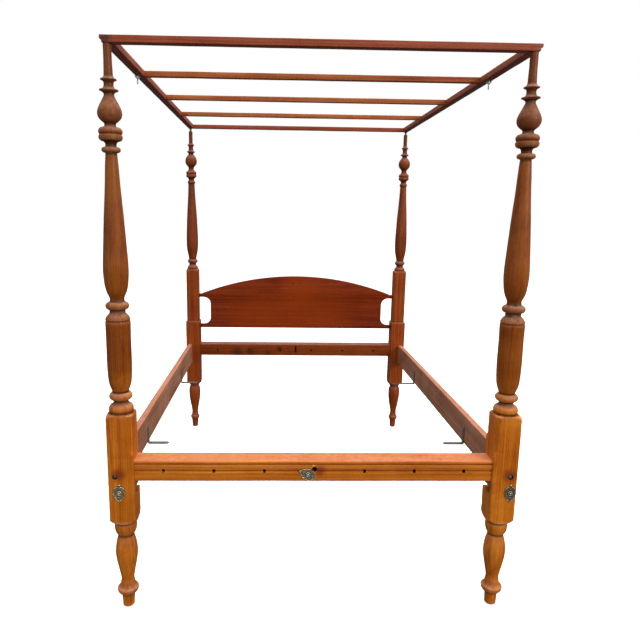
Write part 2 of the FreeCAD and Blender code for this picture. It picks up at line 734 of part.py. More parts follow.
def bolt_cover(label, x, y, z, turn=0):
    """A cast cover hung on a pin: its back stands just off the wood, its boss faces -Y.

    It is drawn hanging straight down from the pin, and turn swings it about the pin.
    """
    body = new_body(label, x, y, z)
    place = body.Placement
    place.Rotation = FreeCAD.Rotation(FreeCAD.Vector(0, -1, 0), turn)
    body.Placement = place
    for axis, formula in zip("xyz", (x, y, z)):
        bind(body, "Placement.Base." + axis, formula)
    rim = new_sketch(body, "RimOutline", "XZ_Plane", "cover_gap")
    outline(rim, (-5, 5), [
        ("line", (5, 5)), ("line", (7, -5)), ("arc", (17, -9), (22, -18)),
        ("arc", (21.5, -27), (25, -34)), ("arc", (20, -40), (20, -47)),
        ("arc", (14, -51), (12, -58)), ("arc", (5, -61), (0, -71)),
        ("arc", (-5, -61), (-12, -58)), ("arc", (-14, -51), (-20, -47)),
        ("arc", (-20, -40), (-25, -34)), ("arc", (-21.5, -27), (-22, -18)),
        ("arc", (-17, -9), (-7, -5)),
    ])
    pad(body, "Plate", rim, "cover_plate")
    raised = new_sketch(body, "RaisedOutline", "XZ_Plane", "cover_gap + cover_plate")
    outline(raised, (-13, -14), [
        ("arc", (0, -9), (13, -14)), ("line", (19, -33)), ("line", (12, -48)),
        ("line", (0, -62)), ("line", (-12, -48)), ("line", (-19, -33)),
    ])
    pad(body, "RaisedField", raised, 1.7)
    boss = new_sketch(body, "BossOutline", "XZ_Plane", "cover_gap + cover_plate + 1.7")
    circles(boss, [(0, -31)], 9)
    pad(body, "BossBase", boss, 2.5)
    knob = new_sketch(body, "KnobOutline", "XZ_Plane", "cover_gap + cover_plate + 4.2")
    circles(knob, [(0, -31)], 4)
    pad(body, "Knob", knob, 2.5)
    cut_round(body, "PinHole", "Y", [(0, 0)], "cover_hole_radius", (-9, 0))
    return body


def cover_pins():
    pins = []
    front = "foot_line - post_square / 2"
    spots = [("%d * post_spread + %d" % (side, cover_pivot_x(side)), front, "cover_pivot_height")
             for side in (-1, 1)]
    spots.append((3, "foot_line - rail_square / 2", "centre_pivot_height"))
    reach = "cover_gap * 2 + cover_plate"
    for x, face, z in spots:
        shank = cylinder("CoverPinShank", "cover_pin_radius", reach + " + cover_pin_depth",
                         (x, "%s + cover_pin_depth" % face, z), (1, 0, 0, 90))
        head = cylinder("CoverPinHead", 3.5, 1.5, (x, "%s - (%s)" % (face, reach), z), (1, 0, 0, 90))
        pin = doc.addObject("Part::Fuse", "CoverPin")
        pin.Base = shank
        pin.Tool = head
        pins.append(pin)
    return group("cover_pins", pins)


def tester_end_rail(label, line, rear=1):
    """A rail across the bed: its ends are halved from below over the side rails."""
    body = new_body(label, 0, line, "tester_bottom")
    plan = new_sketch(body, "Plan", "XY_Plane")
    rectangle(plan, ("-tester_reach", "tester_reach"), ("-tester_width / 2", "tester_width / 2"))
    pad(body, "Rail", plan, "tester_thick")
    for side, name in ((-1, "Left"), (1, "Right")):
        cut_box(body, name + "Halving",
                ("%d * (tester_side_line - tester_width / 2)" % side, "%d * tester_reach" % side),
                ("-tester_width / 2", "tester_width / 2"), (0, "tester_thick / 2"))
    full = (0, "tester_thick")
    cut_round(body, "PinHoles", "Z", [("-post_spread", 0), ("post_spread", 0)], "pin_hole_radius", full)
    nails = [("%d * (tester_side_line - nail_spread)" % side, "%d * nail_inset" % -rear)
             for side in (-1, 1)]
    cut_round(body, "NailHoles", "Z", nails, "nail_radius", full)
    return body


def tester_side(label, side, end):
    """Half of a side rail of the tester.  The two halves lap, with slanting shoulders."""
    body = new_body(label, "%d * tester_side_line" % side, "foot_line", "tester_bottom")
    inner = "%d * tester_width / 2" % -side
    outer = "%d * tester_width / 2" % side
    half = "tester_thick / 2"
    for name, level, lap, set_back in (("Lower", 0, "0", 0), ("Upper", half, "splice_lap", 1)):
        shoulder = [(outer, "splice_outer - " + lap), (inner, "splice_inner - " + lap)]
        if end == "foot":
            stop = "tester_width / 2" if set_back else "-tester_width / 2"
        else:
            stop = "post_spacing - tester_width / 2" if set_back else "post_spacing + tester_width / 2"
        plan = new_sketch(body, name + "Plan", "XY_Plane", level)
        polygon(plan, [(inner, stop), (outer, stop)] + shoulder)
        pad(body, name + "Layer", plan, half)
    pin_x = "%d * (post_spread - tester_side_line)" % side
    end_line = "0" if end == "foot" else "post_spacing"
    cut_round(body, "PinHole", "Z", [(pin_x, end_line)], "pin_hole_radius", (0, half))
    nail_y = end_line + (" - nail_inset" if end == "foot" else " + nail_inset")
    cut_round(body, "NailHole", "Z", [("%d * -nail_spread" % side, nail_y)], "nail_radius",
              ("slat_thick - nail_length + 2", half))
    bolt_x, bolt_y = splice_bolt_place(side)
    cut_round(body, "SpliceBoltHole", "Z", [(bolt_x, bolt_y)], "splice_bolt_radius", (0, "tester_thick"))
    if end == "head":
        cut_round(body, "BoltHeadBore", "Z", [(bolt_x, bolt_y)], 7, ("tester_thick - 4", "tester_thick"))
        for number in (1, 2, 3):
            line = "%d * slat_pitch" % number
            cut_box(body, "SlatNotch%d" % number, (inner, outer),
                    (line + " - slat_width / 2", line + " + slat_width / 2"), (half, "tester_thick"))
            cut_round(body, "SlatNailHole%d" % number, "Z", [(0, line)], "nail_radius", (2, half))
    return body


def splice_bolt_place(side):
    """Place of the splice bolt, across from the side rail's line and along from the foot."""
    return (-8, 469) if side < 0 else (6, 444)


def tester_slat(label, number):
    body = new_body(label, 0, "foot_line + %d * slat_pitch" % number, "tester_bottom")
    half = "tester_thick / 2"
    width = ("-slat_width / 2", "slat_width / 2")
    inner = "tester_side_line - tester_width / 2"
    outer = "tester_side_line + tester_width / 2"
    tongue = new_sketch(body, "TonguePlan", "XY_Plane", half)
    rectangle(tongue, ("-(%s)" % outer, outer), width)
    pad(body, "Tongues", tongue, "tester_thick - " + half)
    beam = new_sketch(body, "BeamPlan", "XY_Plane", "tester_thick - slat_thick")
    rectangle(beam, ("-(%s)" % inner, inner), width)
    pad(body, "Beam", beam, "slat_thick")
    cut_round(body, "NailHoles", "Z", [("-tester_side_line", 0), ("tester_side_line", 0)],
              "nail_radius", (half, "tester_thick"))
    return body


def nails(label, places):
    low = "tester_bottom + tester_thick - nail_length"
    return group(label, [cylinder("Nail", "nail_radius", "nail_length", (x, y, low)) for x, y in places])


def tester_nails():
    corners = []
    crossings = []
    for side in (-1, 1):
        corners.append(("%d * (tester_side_line - nail_spread)" % side, "foot_line - nail_inset"))
        corners.append(("%d * (tester_side_line - nail_spread)" % side,
                        "foot_line + post_spacing + nail_inset"))
        for number in (1, 2, 3):
            crossings.append(("%d * tester_side_line" % side, "foot_line + %d * slat_pitch" % number))
    return [nails("tester_corner_nails", corners), nails("tester_slat_nails", crossings)]


def tester_pins():
    """Iron pins in the post tops.  Those of the head posts have a shoulder under the tester."""
    foot = []
    head = []
    for side in (-1, 1):
        x = "%d * post_spread" % side
        length = "pin_top - pin_bottom"
        foot.append(cylinder("FootPin", "pin_radius", length, (x, "foot_line", "pin_bottom")))
        line = "foot_line + post_spacing"
        rod = cylinder("HeadPinRod", "pin_radius", length, (x, line, "pin_bottom"))
        neck = cylinder("HeadPinNeck", 7, "tester_bottom - head_post_top", (x, line, "head_post_top"))
        flange = cylinder("HeadPinFlange", 10, 4, (x, line, "tester_bottom - 4"))
        shoulder = doc.addObject("Part::Fuse", "HeadPinShoulder")
        shoulder.Base = neck
        shoulder.Tool = flange
        pin = doc.addObject("Part::Fuse", "HeadPin")
        pin.Base = shoulder
        pin.Tool = rod
        head.append(pin)
    return [group("foot_tester_pins", foot), group("head_tester_pins", head)]


def splice_bolt(label, side):
    """A domed bolt let into the top of the splice, with its washer under the rail."""
    body = new_body(label, "%d * tester_side_line" % side, "foot_line", 0)
    x, y = splice_bolt_place(side)
    shank = new_sketch(body, "ShankPlan", "XY_Plane", "splice_bolt_end")
    circles(shank, [(x, y)], "splice_bolt_radius")
    pad(body, "Shank", shank, "tester_bottom + tester_thick - 1 - splice_bolt_end")
    head = new_sketch(body, "HeadPlan", "XY_Plane", "tester_bottom + tester_thick - 4")
    circles(head, [(x, y)], 7)
    pad(body, "Head", head, 3)
    return body


def splice_washer(label, side):
    x, y = splice_bolt_place(side)
    body = new_body(label, "%d * tester_side_line + %d" % (side, x), "foot_line + %d" % y,
                    "tester_bottom - 1.5")
    ring = new_sketch(body, "Ring", "XY_Plane")
    circles(ring, [(0, 0)], 8)
    circles(ring, [(0, 0)], "splice_bolt_radius + 0.3")
    pad(body, "Washer", ring, 1.5)
    return body


def wing_nut(label, side, turn):
    """A nut with two upswept wings, free to spin on the splice bolt."""
    x, y = splice_bolt_place(side)
    place = ("%d * tester_side_line + %d" % (side, x), "foot_line + %d" % y, "tester_bottom - 13")
    body = new_body(label, *place)
    placement = body.Placement
    placement.Rotation = FreeCAD.Rotation(FreeCAD.Vector(0, 0, 1), turn)
    body.Placement = placement
    for axis, formula in zip("xyz", place):
        bind(body, "Placement.Base." + axis, formula)
    hub = new_sketch(body, "HubOutline", "XZ_Plane")
    outline(hub, (0, 0), [("line", (5.2, 0)), ("line", (6, 9)), ("line", (5, 11.2)), ("line", (0, 11.2))])
    spin(body, "Hub", hub)
    wings = new_sketch(body, "WingOutline", "XZ_Plane")
    outline(wings, (-4, 1), [
        ("line", (4, 1)), ("arc", (9, 3), (13, 8)), ("arc", (12.6, 10.7), (10, 11)),
        ("arc", (7, 8), (4, 7.5)), ("line", (-4, 7.5)), ("arc", (-7, 8), (-10, 11)),
        ("arc", (-12.6, 10.7), (-13, 8)), ("arc", (-9, 3), (-4, 1)),
    ])
    pad(body, "Wings", wings, 2.5, middle=True)
    cut_round(body, "Bore", "Z", [(0, 0)], "splice_bolt_radius + 0.05", (-1, 12))
    return body


def build():
    nodes = [
        foot_post("foot_post_left", -1),
        foot_post("foot_post_right", 1),
        head_post("head_post_left", -1),
        head_post("head_post_right", 1),
        foot_rail(),
        head_rail(),
        side_rail("side_rail_left", -1),
        side_rail("side_rail_right", 1),
        headboard(),
        headboard_plugs(),
    ]
    for side, name in ((-1, "left"), (1, "right")):
        for end, place in hanger_places().items():
            nodes.append(hanger("hanger_%s_%s" % (end, name), side, place))
    nodes.append(hanger_screws())
    nodes += bolts_and_nuts()
    post_front = "foot_line - post_square / 2"
    for side, name in ((-1, "left"), (1, "right")):
        x = "%d * post_spread + %d" % (side, cover_pivot_x(side))
        nodes.append(bolt_cover("bolt_cover_" + name, x, post_front, "cover_pivot_height"))
    nodes.append(bolt_cover("bolt_cover_centre", 3, "foot_line - rail_square / 2",
                            "centre_pivot_height", -115))
    nodes.append(cover_pins())
    nodes.append(tester_end_rail("tester_front_rail", "foot_line"))
    nodes.append(tester_end_rail("tester_rear_rail", "foot_line + post_spacing", -1))
    for side, name in ((-1, "left"), (1, "right")):
        for end in ("foot", "head"):
            nodes.append(tester_side("tester_side_%s_%s" % (name, end), side, end))
        nodes.append(splice_bolt("splice_bolt_" + name, side))
        nodes.append(splice_washer("splice_washer_" + name, side))
        nodes.append(wing_nut("wing_nut_" + name, side, 90 + 40 * side))
    for number, name in ((1, "foot"), (2, "middle"), (3, "head")):
        nodes.append(tester_slat("tester_slat_" + name, number))
    nodes += tester_nails()
    nodes += tester_pins()
    return nodes


def check_and_write(nodes):
    doc.recompute()
    for thing in doc.Objects:
        if "Invalid" in thing.State or "Error" in thing.State:
            raise RuntimeError("%s failed: %s" % (thing.Name, thing.State))
    os.makedirs("parts", exist_ok=True)
    for node in nodes:
        shape = node.Shape
        if shape.isNull() or not shape.isValid() or not shape.Solids:
            raise RuntimeError("%s has no valid shape" % node.Label)
        box = shape.BoundBox
        print("%-22s %2d solid(s) %9.0f mm3  x %.1f..%.1f  y %.1f..%.1f  z %.1f..%.1f" % (
            node.Label, len(shape.Solids), shape.Volume,
            box.XMin, box.XMax, box.YMin, box.YMax, box.ZMin, box.ZMax))
        shape.exportStep("parts/%s.step" % node.Label)


fill_sheet()
check_and_write(build())
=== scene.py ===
import json
import math

import bmesh
import bpy
import numpy as np
from mathutils import Matrix, Vector, noise


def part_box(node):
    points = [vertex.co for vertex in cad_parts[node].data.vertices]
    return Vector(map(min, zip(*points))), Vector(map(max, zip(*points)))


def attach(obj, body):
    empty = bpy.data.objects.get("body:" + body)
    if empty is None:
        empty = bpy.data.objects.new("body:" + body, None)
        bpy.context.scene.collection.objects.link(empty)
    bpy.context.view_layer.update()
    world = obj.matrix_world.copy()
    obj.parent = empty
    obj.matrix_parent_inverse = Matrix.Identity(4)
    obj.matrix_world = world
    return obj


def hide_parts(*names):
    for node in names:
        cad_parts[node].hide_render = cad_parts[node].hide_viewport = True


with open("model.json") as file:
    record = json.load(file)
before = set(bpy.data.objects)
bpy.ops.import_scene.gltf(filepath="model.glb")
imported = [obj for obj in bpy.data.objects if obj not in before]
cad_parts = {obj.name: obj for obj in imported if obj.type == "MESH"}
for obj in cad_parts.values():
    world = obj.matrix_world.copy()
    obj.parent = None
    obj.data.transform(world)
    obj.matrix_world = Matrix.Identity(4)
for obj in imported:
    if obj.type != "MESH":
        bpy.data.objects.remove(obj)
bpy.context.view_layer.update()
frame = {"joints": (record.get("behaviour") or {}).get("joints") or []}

MM = 0.001
TIMBER_STEP = 0.03                   # spacing of a sawn timber's cross sections


# ---------------------------------------------------------------- mesh helpers

def placed(name, mesh):
    """An object that shows the mesh, in the scene."""
    thing = bpy.data.objects.new(name, mesh)
    bpy.context.scene.collection.objects.link(thing)
    return thing


def new_object(name, verts, faces, material=None, angle=35):
    """A mesh object whose faces are smooth across edges blunter than angle."""
    mesh = bpy.data.meshes.new(name)
    mesh.from_pydata([tuple(v) for v in verts], [], faces)
    mesh.validate()
    mesh.update()
    thing = placed(name, mesh)
    if material:
        mesh.materials.append(material)
    smooth(thing, angle)
    return thing


def from_bmesh(name, bm, materials):
    """A mesh object with what the bmesh holds; the bmesh is freed."""
    mesh = bpy.data.meshes.new(name)
    bm.to_mesh(mesh)
    bm.free()
    for material in materials:
        mesh.materials.append(material)
    return placed(name, mesh)


def smooth(thing, angle=35):
    """Shades the faces smooth, except across edges sharper than angle."""
    thing.data.shade_smooth()
    thing.data.set_sharp_from_angle(angle=math.radians(angle))


def tidy_normals(thing, angle):
    """Turns all faces outwards and shades them smooth."""
    bm = bmesh.new()
    bm.from_mesh(thing.data)
    bmesh.ops.recalc_face_normals(bm, faces=bm.faces)
    bm.to_mesh(thing.data)
    bm.free()
    smooth(thing, angle)


def bake_modifiers(thing):
    """Puts what the modifiers make into the object's own mesh."""
    graph = bpy.context.evaluated_depsgraph_get()
    graph.update()
    mesh = bpy.data.meshes.new_from_object(thing.evaluated_get(graph))
    thing.modifiers.clear()
    thing.data = mesh


def boolean(thing, tool, operation="DIFFERENCE"):
    """Cuts the tool out of the thing, or unites them, and uses the tool up."""
    step = thing.modifiers.new("step", "BOOLEAN")
    step.operation = operation
    step.solver = "EXACT"
    step.material_mode = "TRANSFER"
    step.object = tool
    bake_modifiers(thing)
    bpy.data.objects.remove(tool)


def merged(name, things):
    """Joins several objects into one, without uniting their volumes."""
    bm = bmesh.new()
    materials = []
    for thing in things:
        before = len(bm.faces)
        bm.from_mesh(thing.data)
        bm.faces.ensure_lookup_table()
        slots = [slot.material for slot in thing.material_slots]
        materials += [material for material in slots if material not in materials]
        for face in bm.faces[before:]:
            if slots:
                face.material_index = materials.index(slots[face.material_index])
    for thing in things:
        bpy.data.objects.remove(thing)
    return from_bmesh(name, bm, materials)


def spline(points, steps):
    """A natural cubic curve through the points, as steps points between each pair."""
    points = np.array(points, float)
    count = len(points)
    knots = np.concatenate([[0], np.cumsum(np.linalg.norm(np.diff(points, axis=0), axis=1))])
    gaps = np.diff(knots)
    system = np.eye(count)
    right = np.zeros((count, points.shape[1]))
    for i in range(1, count - 1):
        system[i, i - 1:i + 2] = gaps[i - 1], 2 * (gaps[i - 1] + gaps[i]), gaps[i]
        slope_after = (points[i + 1] - points[i]) / gaps[i]
        slope_before = (points[i] - points[i - 1]) / gaps[i - 1]
        right[i] = 6 * (slope_after - slope_before)
    bend = np.linalg.solve(system, right)
    made = []
    for i in range(count - 1):
        for step in range(1, steps + 1):
            t = gaps[i] * step / steps
            left = gaps[i] - t
            made.append((bend[i] * left ** 3 + bend[i + 1] * t ** 3) / (6 * gaps[i])
                        + (points[i] / gaps[i] - bend[i] * gaps[i] / 6) * left
                        + (points[i + 1] / gaps[i] - bend[i + 1] * gaps[i] / 6) * t)
    return [tuple(p) for p in made]


def arc(start, middle, end, steps):
    """Points along the circle through three points, after the first one."""
    ax, ay = start
    bx, by = middle
    cx, cy = end
    cross = 2 * (ax * (by - cy) + bx * (cy - ay) + cx * (ay - by))
    if abs(cross) < 1e-9:
        return [middle, end]
    a2 = ax * ax + ay * ay
    b2 = bx * bx + by * by
    c2 = cx * cx + cy * cy
    ux = (a2 * (by - cy) + b2 * (cy - ay) + c2 * (ay - by)) / cross
    uy = (a2 * (cx - bx) + b2 * (ax - cx) + c2 * (bx - ax)) / cross
    radius = math.hypot(ax - ux, ay - uy)
    first = math.atan2(ay - uy, ax - ux)
    turn = (math.atan2(cy - uy, cx - ux) - first) % (2 * math.pi)
    passing = (math.atan2(by - uy, bx - ux) - first) % (2 * math.pi)
    if passing > turn:
        turn -= 2 * math.pi
    return [(ux + radius * math.cos(first + turn * k / steps),
             uy + radius * math.sin(first + turn * k / steps)) for k in range(1, steps + 1)]


def outline(start, path, arc_steps=8, curve_steps=7):
    """Points of an outline: each step of the path lists its stops.

    One stop is a line to it, two are an arc through the first, and more are a smooth curve.
    """
    made = [start]
    for stops in path:
        if len(stops) == 1:
            made += stops
        elif len(stops) == 2:
            made += arc(made[-1], *stops, arc_steps)
        else:
            made += spline([made[-1]] + stops, curve_steps)
    return made


def wander(x, y, z, scale, seed=0.0):
    """Smooth noise between about -1 and 1 at a place given in metres."""
    return noise.noise(Vector((x * scale + seed, y * scale - seed * 0.7, z * scale + seed * 1.3)))


def loft(name, rings, material, angle=35, closed_ends=True):
    """Joins rings of equal count into a skin with flat ends."""
    count = len(rings[0])
    verts = [point for ring in rings for point in ring]
    faces = []
    for level in range(len(rings) - 1):
        for k in range(count):
            after = (k + 1) % count
            low = level * count
            high = low + count
            faces.append((low + k, low + after, high + after, high + k))
    if closed_ends:
        faces.append(tuple(range(count - 1, -1, -1)))
        top = (len(rings) - 1) * count
        faces.append(tuple(range(top, top + count)))
    return new_object(name, verts, faces, material, angle)


def lathe(name, profile, centre, axis="Z", segments=32, material=None, angle=40):
    """A turned piece: profile holds (radius, distance along the axis) from end to end."""
    turn = {"Z": Matrix.Identity(3), "X": Matrix.Rotation(math.pi / 2, 3, "Y"),
            "-X": Matrix.Rotation(-math.pi / 2, 3, "Y"), "-Y": Matrix.Rotation(math.pi / 2, 3, "X"),
            "Y": Matrix.Rotation(-math.pi / 2, 3, "X"), "-Z": Matrix.Rotation(math.pi, 3, "X")}[axis]
    centre = Vector(centre)
    rings = []
    for radius, along in profile:
        ring = []
        for k in range(segments):
            a = 2 * math.pi * k / segments
            ring.append(centre + turn @ Vector((radius * math.cos(a), radius * math.sin(a), along)))
        rings.append(ring)
    return loft(name, rings, material, angle)


def prism(name, plan, low, high, material=None):
    """A straight block with the plan's outline between two heights."""
    area = sum(a[0] * b[1] - b[0] * a[1] for a, b in zip(plan, plan[1:] + plan[:1]))
    if area < 0:
        plan = plan[::-1]
    rings = [[(x, y, z) for x, y in plan] for z in (low, high)]
    return loft(name, rings, material, 30)


def block(x_span, y_span, z_span):
    """A plain box, to join to others or to cut with."""
    (x0, x1), (y0, y1) = sorted(x_span), sorted(y_span)
    return prism("block", [(x0, y0), (x1, y0), (x1, y1), (x0, y1)], *sorted(z_span))


def timber(name, solids, cuts, material, bevel, axis, wave, seed):
    """A joined timber: the union of solids less the cuts, its arrises eased and a little worn."""
    body = solids[0]
    for solid in solids[1:]:
        boolean(body, solid, "UNION")
    for tool in cuts:
        boolean(body, tool)
    bm = bmesh.new()
    bm.from_mesh(body.data)
    bpy.data.objects.remove(body)
    bmesh.ops.remove_doubles(bm, verts=bm.verts, dist=1e-5)
    bmesh.ops.dissolve_limit(bm, angle_limit=math.radians(1.5), verts=bm.verts, edges=bm.edges)
    sharp = [e for e in bm.edges if len(e.link_faces) == 2 and e.calc_face_angle(0) > math.radians(50)
             and e.calc_length() > 2.2 * bevel]
    bmesh.ops.bevel(bm, geom=sharp, offset=bevel, segments=3, profile=0.6, affect="EDGES",
                    clamp_overlap=True)
    spots = [v.co[axis] for v in bm.verts]
    normal = Vector([1 if k == axis else 0 for k in range(3)])
    for number in range(1, int((max(spots) - min(spots)) / TIMBER_STEP)):
        place = normal * (min(spots) + number * TIMBER_STEP)
        bmesh.ops.bisect_plane(bm, geom=bm.verts[:] + bm.edges[:] + bm.faces[:],
                               plane_co=place, plane_no=normal, dist=1e-6)
    for vert in bm.verts:
        shift = Vector([wander(*vert.co, 9, seed + apart) for apart in (0, 5, 9)])
        shift[axis] = 0
        vert.co += shift * wave
    made = from_bmesh(name, bm, [material])
    smooth(made, 40)
    return made


def paint(thing, name, values):
    """Stores one number per vertex for the materials to read."""
    layer = thing.data.attributes.new(name, "FLOAT", "POINT")
    layer.data.foreach_set("value", np.array(values, np.float32))


def stand_for(piece, body, node):
    """Moves the piece with its body and shows it in place of the node."""
    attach(piece, body)
    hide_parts(node)


def stand_together(name, pieces, body, node):
    """Shows several separate shells as one piece in place of the node."""
    whole = merged(name, pieces)
    smooth(whole, 40)
    stand_for(whole, body, node)


# ---------------------------------------------------------------- materials

class Graph:
    """Short calls for building the nodes of a material or a world."""

    def __init__(self, owner):
        owner.use_nodes = True
        self.owner = owner
        self.tree = owner.node_tree
        self.place = self.add("ShaderNodeTexCoord", "Object")

    def feed(self, socket, value):
        """Links a socket to another one, or sets it to a number, a vector or a colour."""
        if isinstance(value, bpy.types.NodeSocket):
            self.tree.links.new(value, socket)
        elif socket.type == "RGBA":
            socket.default_value = (*value, 1)
        else:
            socket.default_value = value

    def add(self, kind, output, inputs=(), **settings):
        """A new node with its settings and inputs; gives back one of its outputs."""
        node = self.tree.nodes.new(kind)
        for key, setting in settings.items():
            setattr(node, key, setting)
        for key, value in dict(inputs).items():
            self.feed(node.inputs[key], value)
        return node.outputs[output]

    def finish(self, node, inputs):
        """Feeds a node that was there from the start."""
        for key, value in inputs.items():
            self.feed(self.tree.nodes[node].inputs[key], value)
        return self.owner

    def stretched(self, scale, shift):
        return self.add("ShaderNodeMapping", "Vector",
                        {"Vector": self.place, "Scale": scale, "Location": shift})

    def noise(self, vector, scale, detail=3.0, rough=0.55, distort=0.0):
        return self.add("ShaderNodeTexNoise", "Fac", {
            "Vector": vector, "Scale": scale, "Detail": detail, "Roughness": rough,
            "Distortion": distort})

    def math(self, operation, *values):
        return self.add("ShaderNodeMath", 0, enumerate(values), operation=operation)

    def span(self, value, low, high, to_low=0.0, to_high=1.0):
        return self.add("ShaderNodeMapRange", "Result", {
            "Value": value, "From Min": low, "From Max": high, "To Min": to_low, "To Max": to_high},
            interpolation_type="SMOOTHSTEP")

    def ramp(self, value, stops):
        colour = self.add("ShaderNodeValToRGB", "Color", {"Fac": value})
        marks = colour.node.color_ramp.elements
        for number, (place, tint) in enumerate(stops):
            mark = marks[number] if number < 2 else marks.new(place)
            mark.position = place
            mark.color = (*tint, 1)
        return colour

    def mix(self, amount, first, second, blend="MIX"):
        return self.add("ShaderNodeMix", 2, {0: amount, 6: first, 7: second},
                        data_type="RGBA", blend_type=blend)

    def attribute(self, name):
        return self.add("ShaderNodeAttribute", "Fac", attribute_name=name)

    def bump(self, height, strength, distance, under=None):
        inputs = {"Height": height, "Strength": strength, "Distance": distance}
        if under:
            inputs["Normal"] = under
        return self.add("ShaderNodeBump", "Normal", inputs)


FIBRE = 0.018                        # how far the grain's marks are drawn out along it
PORE = 0.07


def wood(name, axis, dark, middle, light, pith=(0.02, 0.03, 0.0), ring=0.007, rough=(0.34, 0.55),
         grain=1.0, blotch=0.5, dust_and_sheen=(0.5, 0.3, 0.22), dust_and_sheen_share=0.0, coat=0.06, patches=(), shade_fades=()):
    """Old finished wood with its grain along one axis.

    dark, middle and light are the colours of the late wood, the body and the pale streaks.
    The mesh's rubbed layer lightens worn ridges and dusty upward faces towards a pale colour, which on
    upward faces and rail tops is also painted sheen; its hollow layer darkens hollows with dirt and
    painted shade. Each patch is (centre, reach, colour, share) for a place where the surface differs,
    and each fade is (height, height, tint), painted shade: the colour is multiplied by the tint beyond the
    second height.
    """
    g = Graph(bpy.data.materials.new(name))
    along = "XYZ".index(axis)

    def drawn_out(share, shift=(0, 0, 0)):
        return g.stretched([share if k == along else 1.0 for k in range(3)], shift)

    slow = g.noise(drawn_out(0.045), 16, 2)
    drift = g.add("ShaderNodeCombineXYZ", 0, {k: slow for k in range(3) if k != along})
    bent = g.add("ShaderNodeVectorMath", 0, {0: drift, 1: (0.035, 0.035, 0.035),
                                             2: drawn_out(0.05, pith)}, operation="MULTIPLY_ADD")
    rings = g.add("ShaderNodeTexWave", "Fac", {
        "Vector": bent, "Scale": 0.314 / ring, "Distortion": 4.0, "Detail": 4.0, "Detail Scale": 0.6},
        wave_type="RINGS", rings_direction=axis, wave_profile="SAW")

    fibres = g.noise(drawn_out(FIBRE), 520, 4, 0.65)
    pores = g.noise(drawn_out(PORE), 1500, 2, 0.5)
    clouds = g.noise(g.place, 4.5, 4, 0.6, 0.4)
    streaks = g.noise(drawn_out(FIBRE), 75, 3, 0.6)

    figure = g.math("MULTIPLY_ADD", rings, 0.2 * grain, g.math("MULTIPLY", streaks, 0.62))
    figure = g.math("MULTIPLY_ADD", fibres, 0.36 * grain, figure)
    figure = g.math("MULTIPLY_ADD", clouds, blotch, figure)
    figure = g.math("MULTIPLY_ADD", figure, 1.35, -0.42 * grain - 0.675 * blotch + 0.17)
    colour = g.ramp(figure, [(0.12, dark), (0.9, light), (0.42, middle),
                             (0.66, tuple(0.5 * (a + b) for a, b in zip(middle, light)))])
    pitted = g.span(pores, 0.36, 0.44, 1.0, 0.0)
    colour = g.mix(g.math("MULTIPLY", pitted, 0.42), colour, tuple(0.3 * c for c in dark))
    for centre, reach, tint, share in patches:
        apart = g.add("ShaderNodeVectorMath", "Value", {0: g.place, 1: centre}, operation="DISTANCE")
        ragged = g.math("MULTIPLY_ADD", g.noise(g.place, 60, 3), reach * 0.5, apart)
        colour = g.mix(g.span(ragged, reach * 0.5, reach * 1.6, share, 0.0), colour, tint)
    # Painted shade: darker by each fade's tint above its heights.
    for low, high, tint in shade_fades:
        height = g.add("ShaderNodeSeparateXYZ", "Z", {0: g.place})
        colour = g.mix(g.span(height, low, high), colour, g.mix(1.0, colour, tint, "MULTIPLY"))
    # Darker in hollows and grooves: dirt and painted shade.
    grime_and_shade = g.math("MULTIPLY", g.attribute("grime_and_shade"), g.span(g.noise(g.place, 40, 3), 0.2, 0.6, 0.75, 1.0))
    colour = g.mix(grime_and_shade, colour, tuple(0.18 * c for c in dark))
    # Paler on worn ridges and dusty upward faces; on upward faces and rail tops this is also painted sheen.
    rubbing = g.span(g.noise(g.place, 55, 4, 0.7), 0.3, 0.62, 0.25, 1.0)
    wear_and_sheen = g.math("MULTIPLY", g.attribute("wear_and_sheen"), rubbing)
    colour = g.mix(g.math("MULTIPLY", wear_and_sheen, 0.55 + dust_and_sheen_share), colour, dust_and_sheen)
    scuffs = g.span(g.noise(drawn_out(PORE, (3, 1, 2)), 130, 5, 0.75), 0.63, 0.72)
    colour = g.mix(g.math("MULTIPLY", scuffs, 0.22), colour, dust_and_sheen)

    gloss = g.math("MULTIPLY_ADD", g.noise(g.place, 22, 4, 0.7), rough[1] - rough[0], rough[0])
    gloss = g.math("MULTIPLY_ADD", pitted, 0.12, gloss)
    gloss = g.math("MULTIPLY_ADD", wear_and_sheen, 0.15, gloss)
    relief = g.math("MULTIPLY_ADD", pitted, -0.6, g.math("MULTIPLY", fibres, 0.7))
    dents = g.noise(g.place, 38, 3, 0.5)
    normal = g.bump(dents, 0.25, 0.002, g.bump(relief, 0.32, 0.0006))
    return g.finish("Principled BSDF", {
        "Base Color": colour, "Roughness": gloss, "Normal": normal, "Coat Weight": coat,
        "Coat Roughness": 0.25, "Specular IOR Level": 0.12})


def old_metal(name, base, dark, bright, rough, metallic, scale):
    """A metal gone dull: dark in hollows and blotches, bright on its rubbed parts."""
    g = Graph(bpy.data.materials.new(name))
    clouds = g.noise(g.place, scale, 5, 0.65, 0.3)
    specks = g.noise(g.place, scale * 9, 3, 0.6)
    colour = g.ramp(g.math("MULTIPLY_ADD", specks, 0.3, g.math("MULTIPLY", clouds, 0.8)),
                    [(0.3, dark), (0.62, base), (0.85, bright)])
    colour = g.mix(g.math("MULTIPLY", g.attribute("grime_and_shade"), 0.85), colour, tuple(0.3 * c for c in dark))
    colour = g.mix(g.math("MULTIPLY", g.attribute("wear_and_sheen"), 0.7), colour, bright)
    gloss = g.math("MULTIPLY_ADD", clouds, rough[1] - rough[0], rough[0])
    gloss = g.math("MULTIPLY_ADD", g.attribute("wear_and_sheen"), -0.12, gloss)
    normal = g.bump(g.math("MULTIPLY_ADD", specks, 0.4, clouds), 0.25, 0.0008)
    return g.finish("Principled BSDF", {
        "Base Color": colour, "Roughness": gloss, "Normal": normal, "Metallic": metallic})


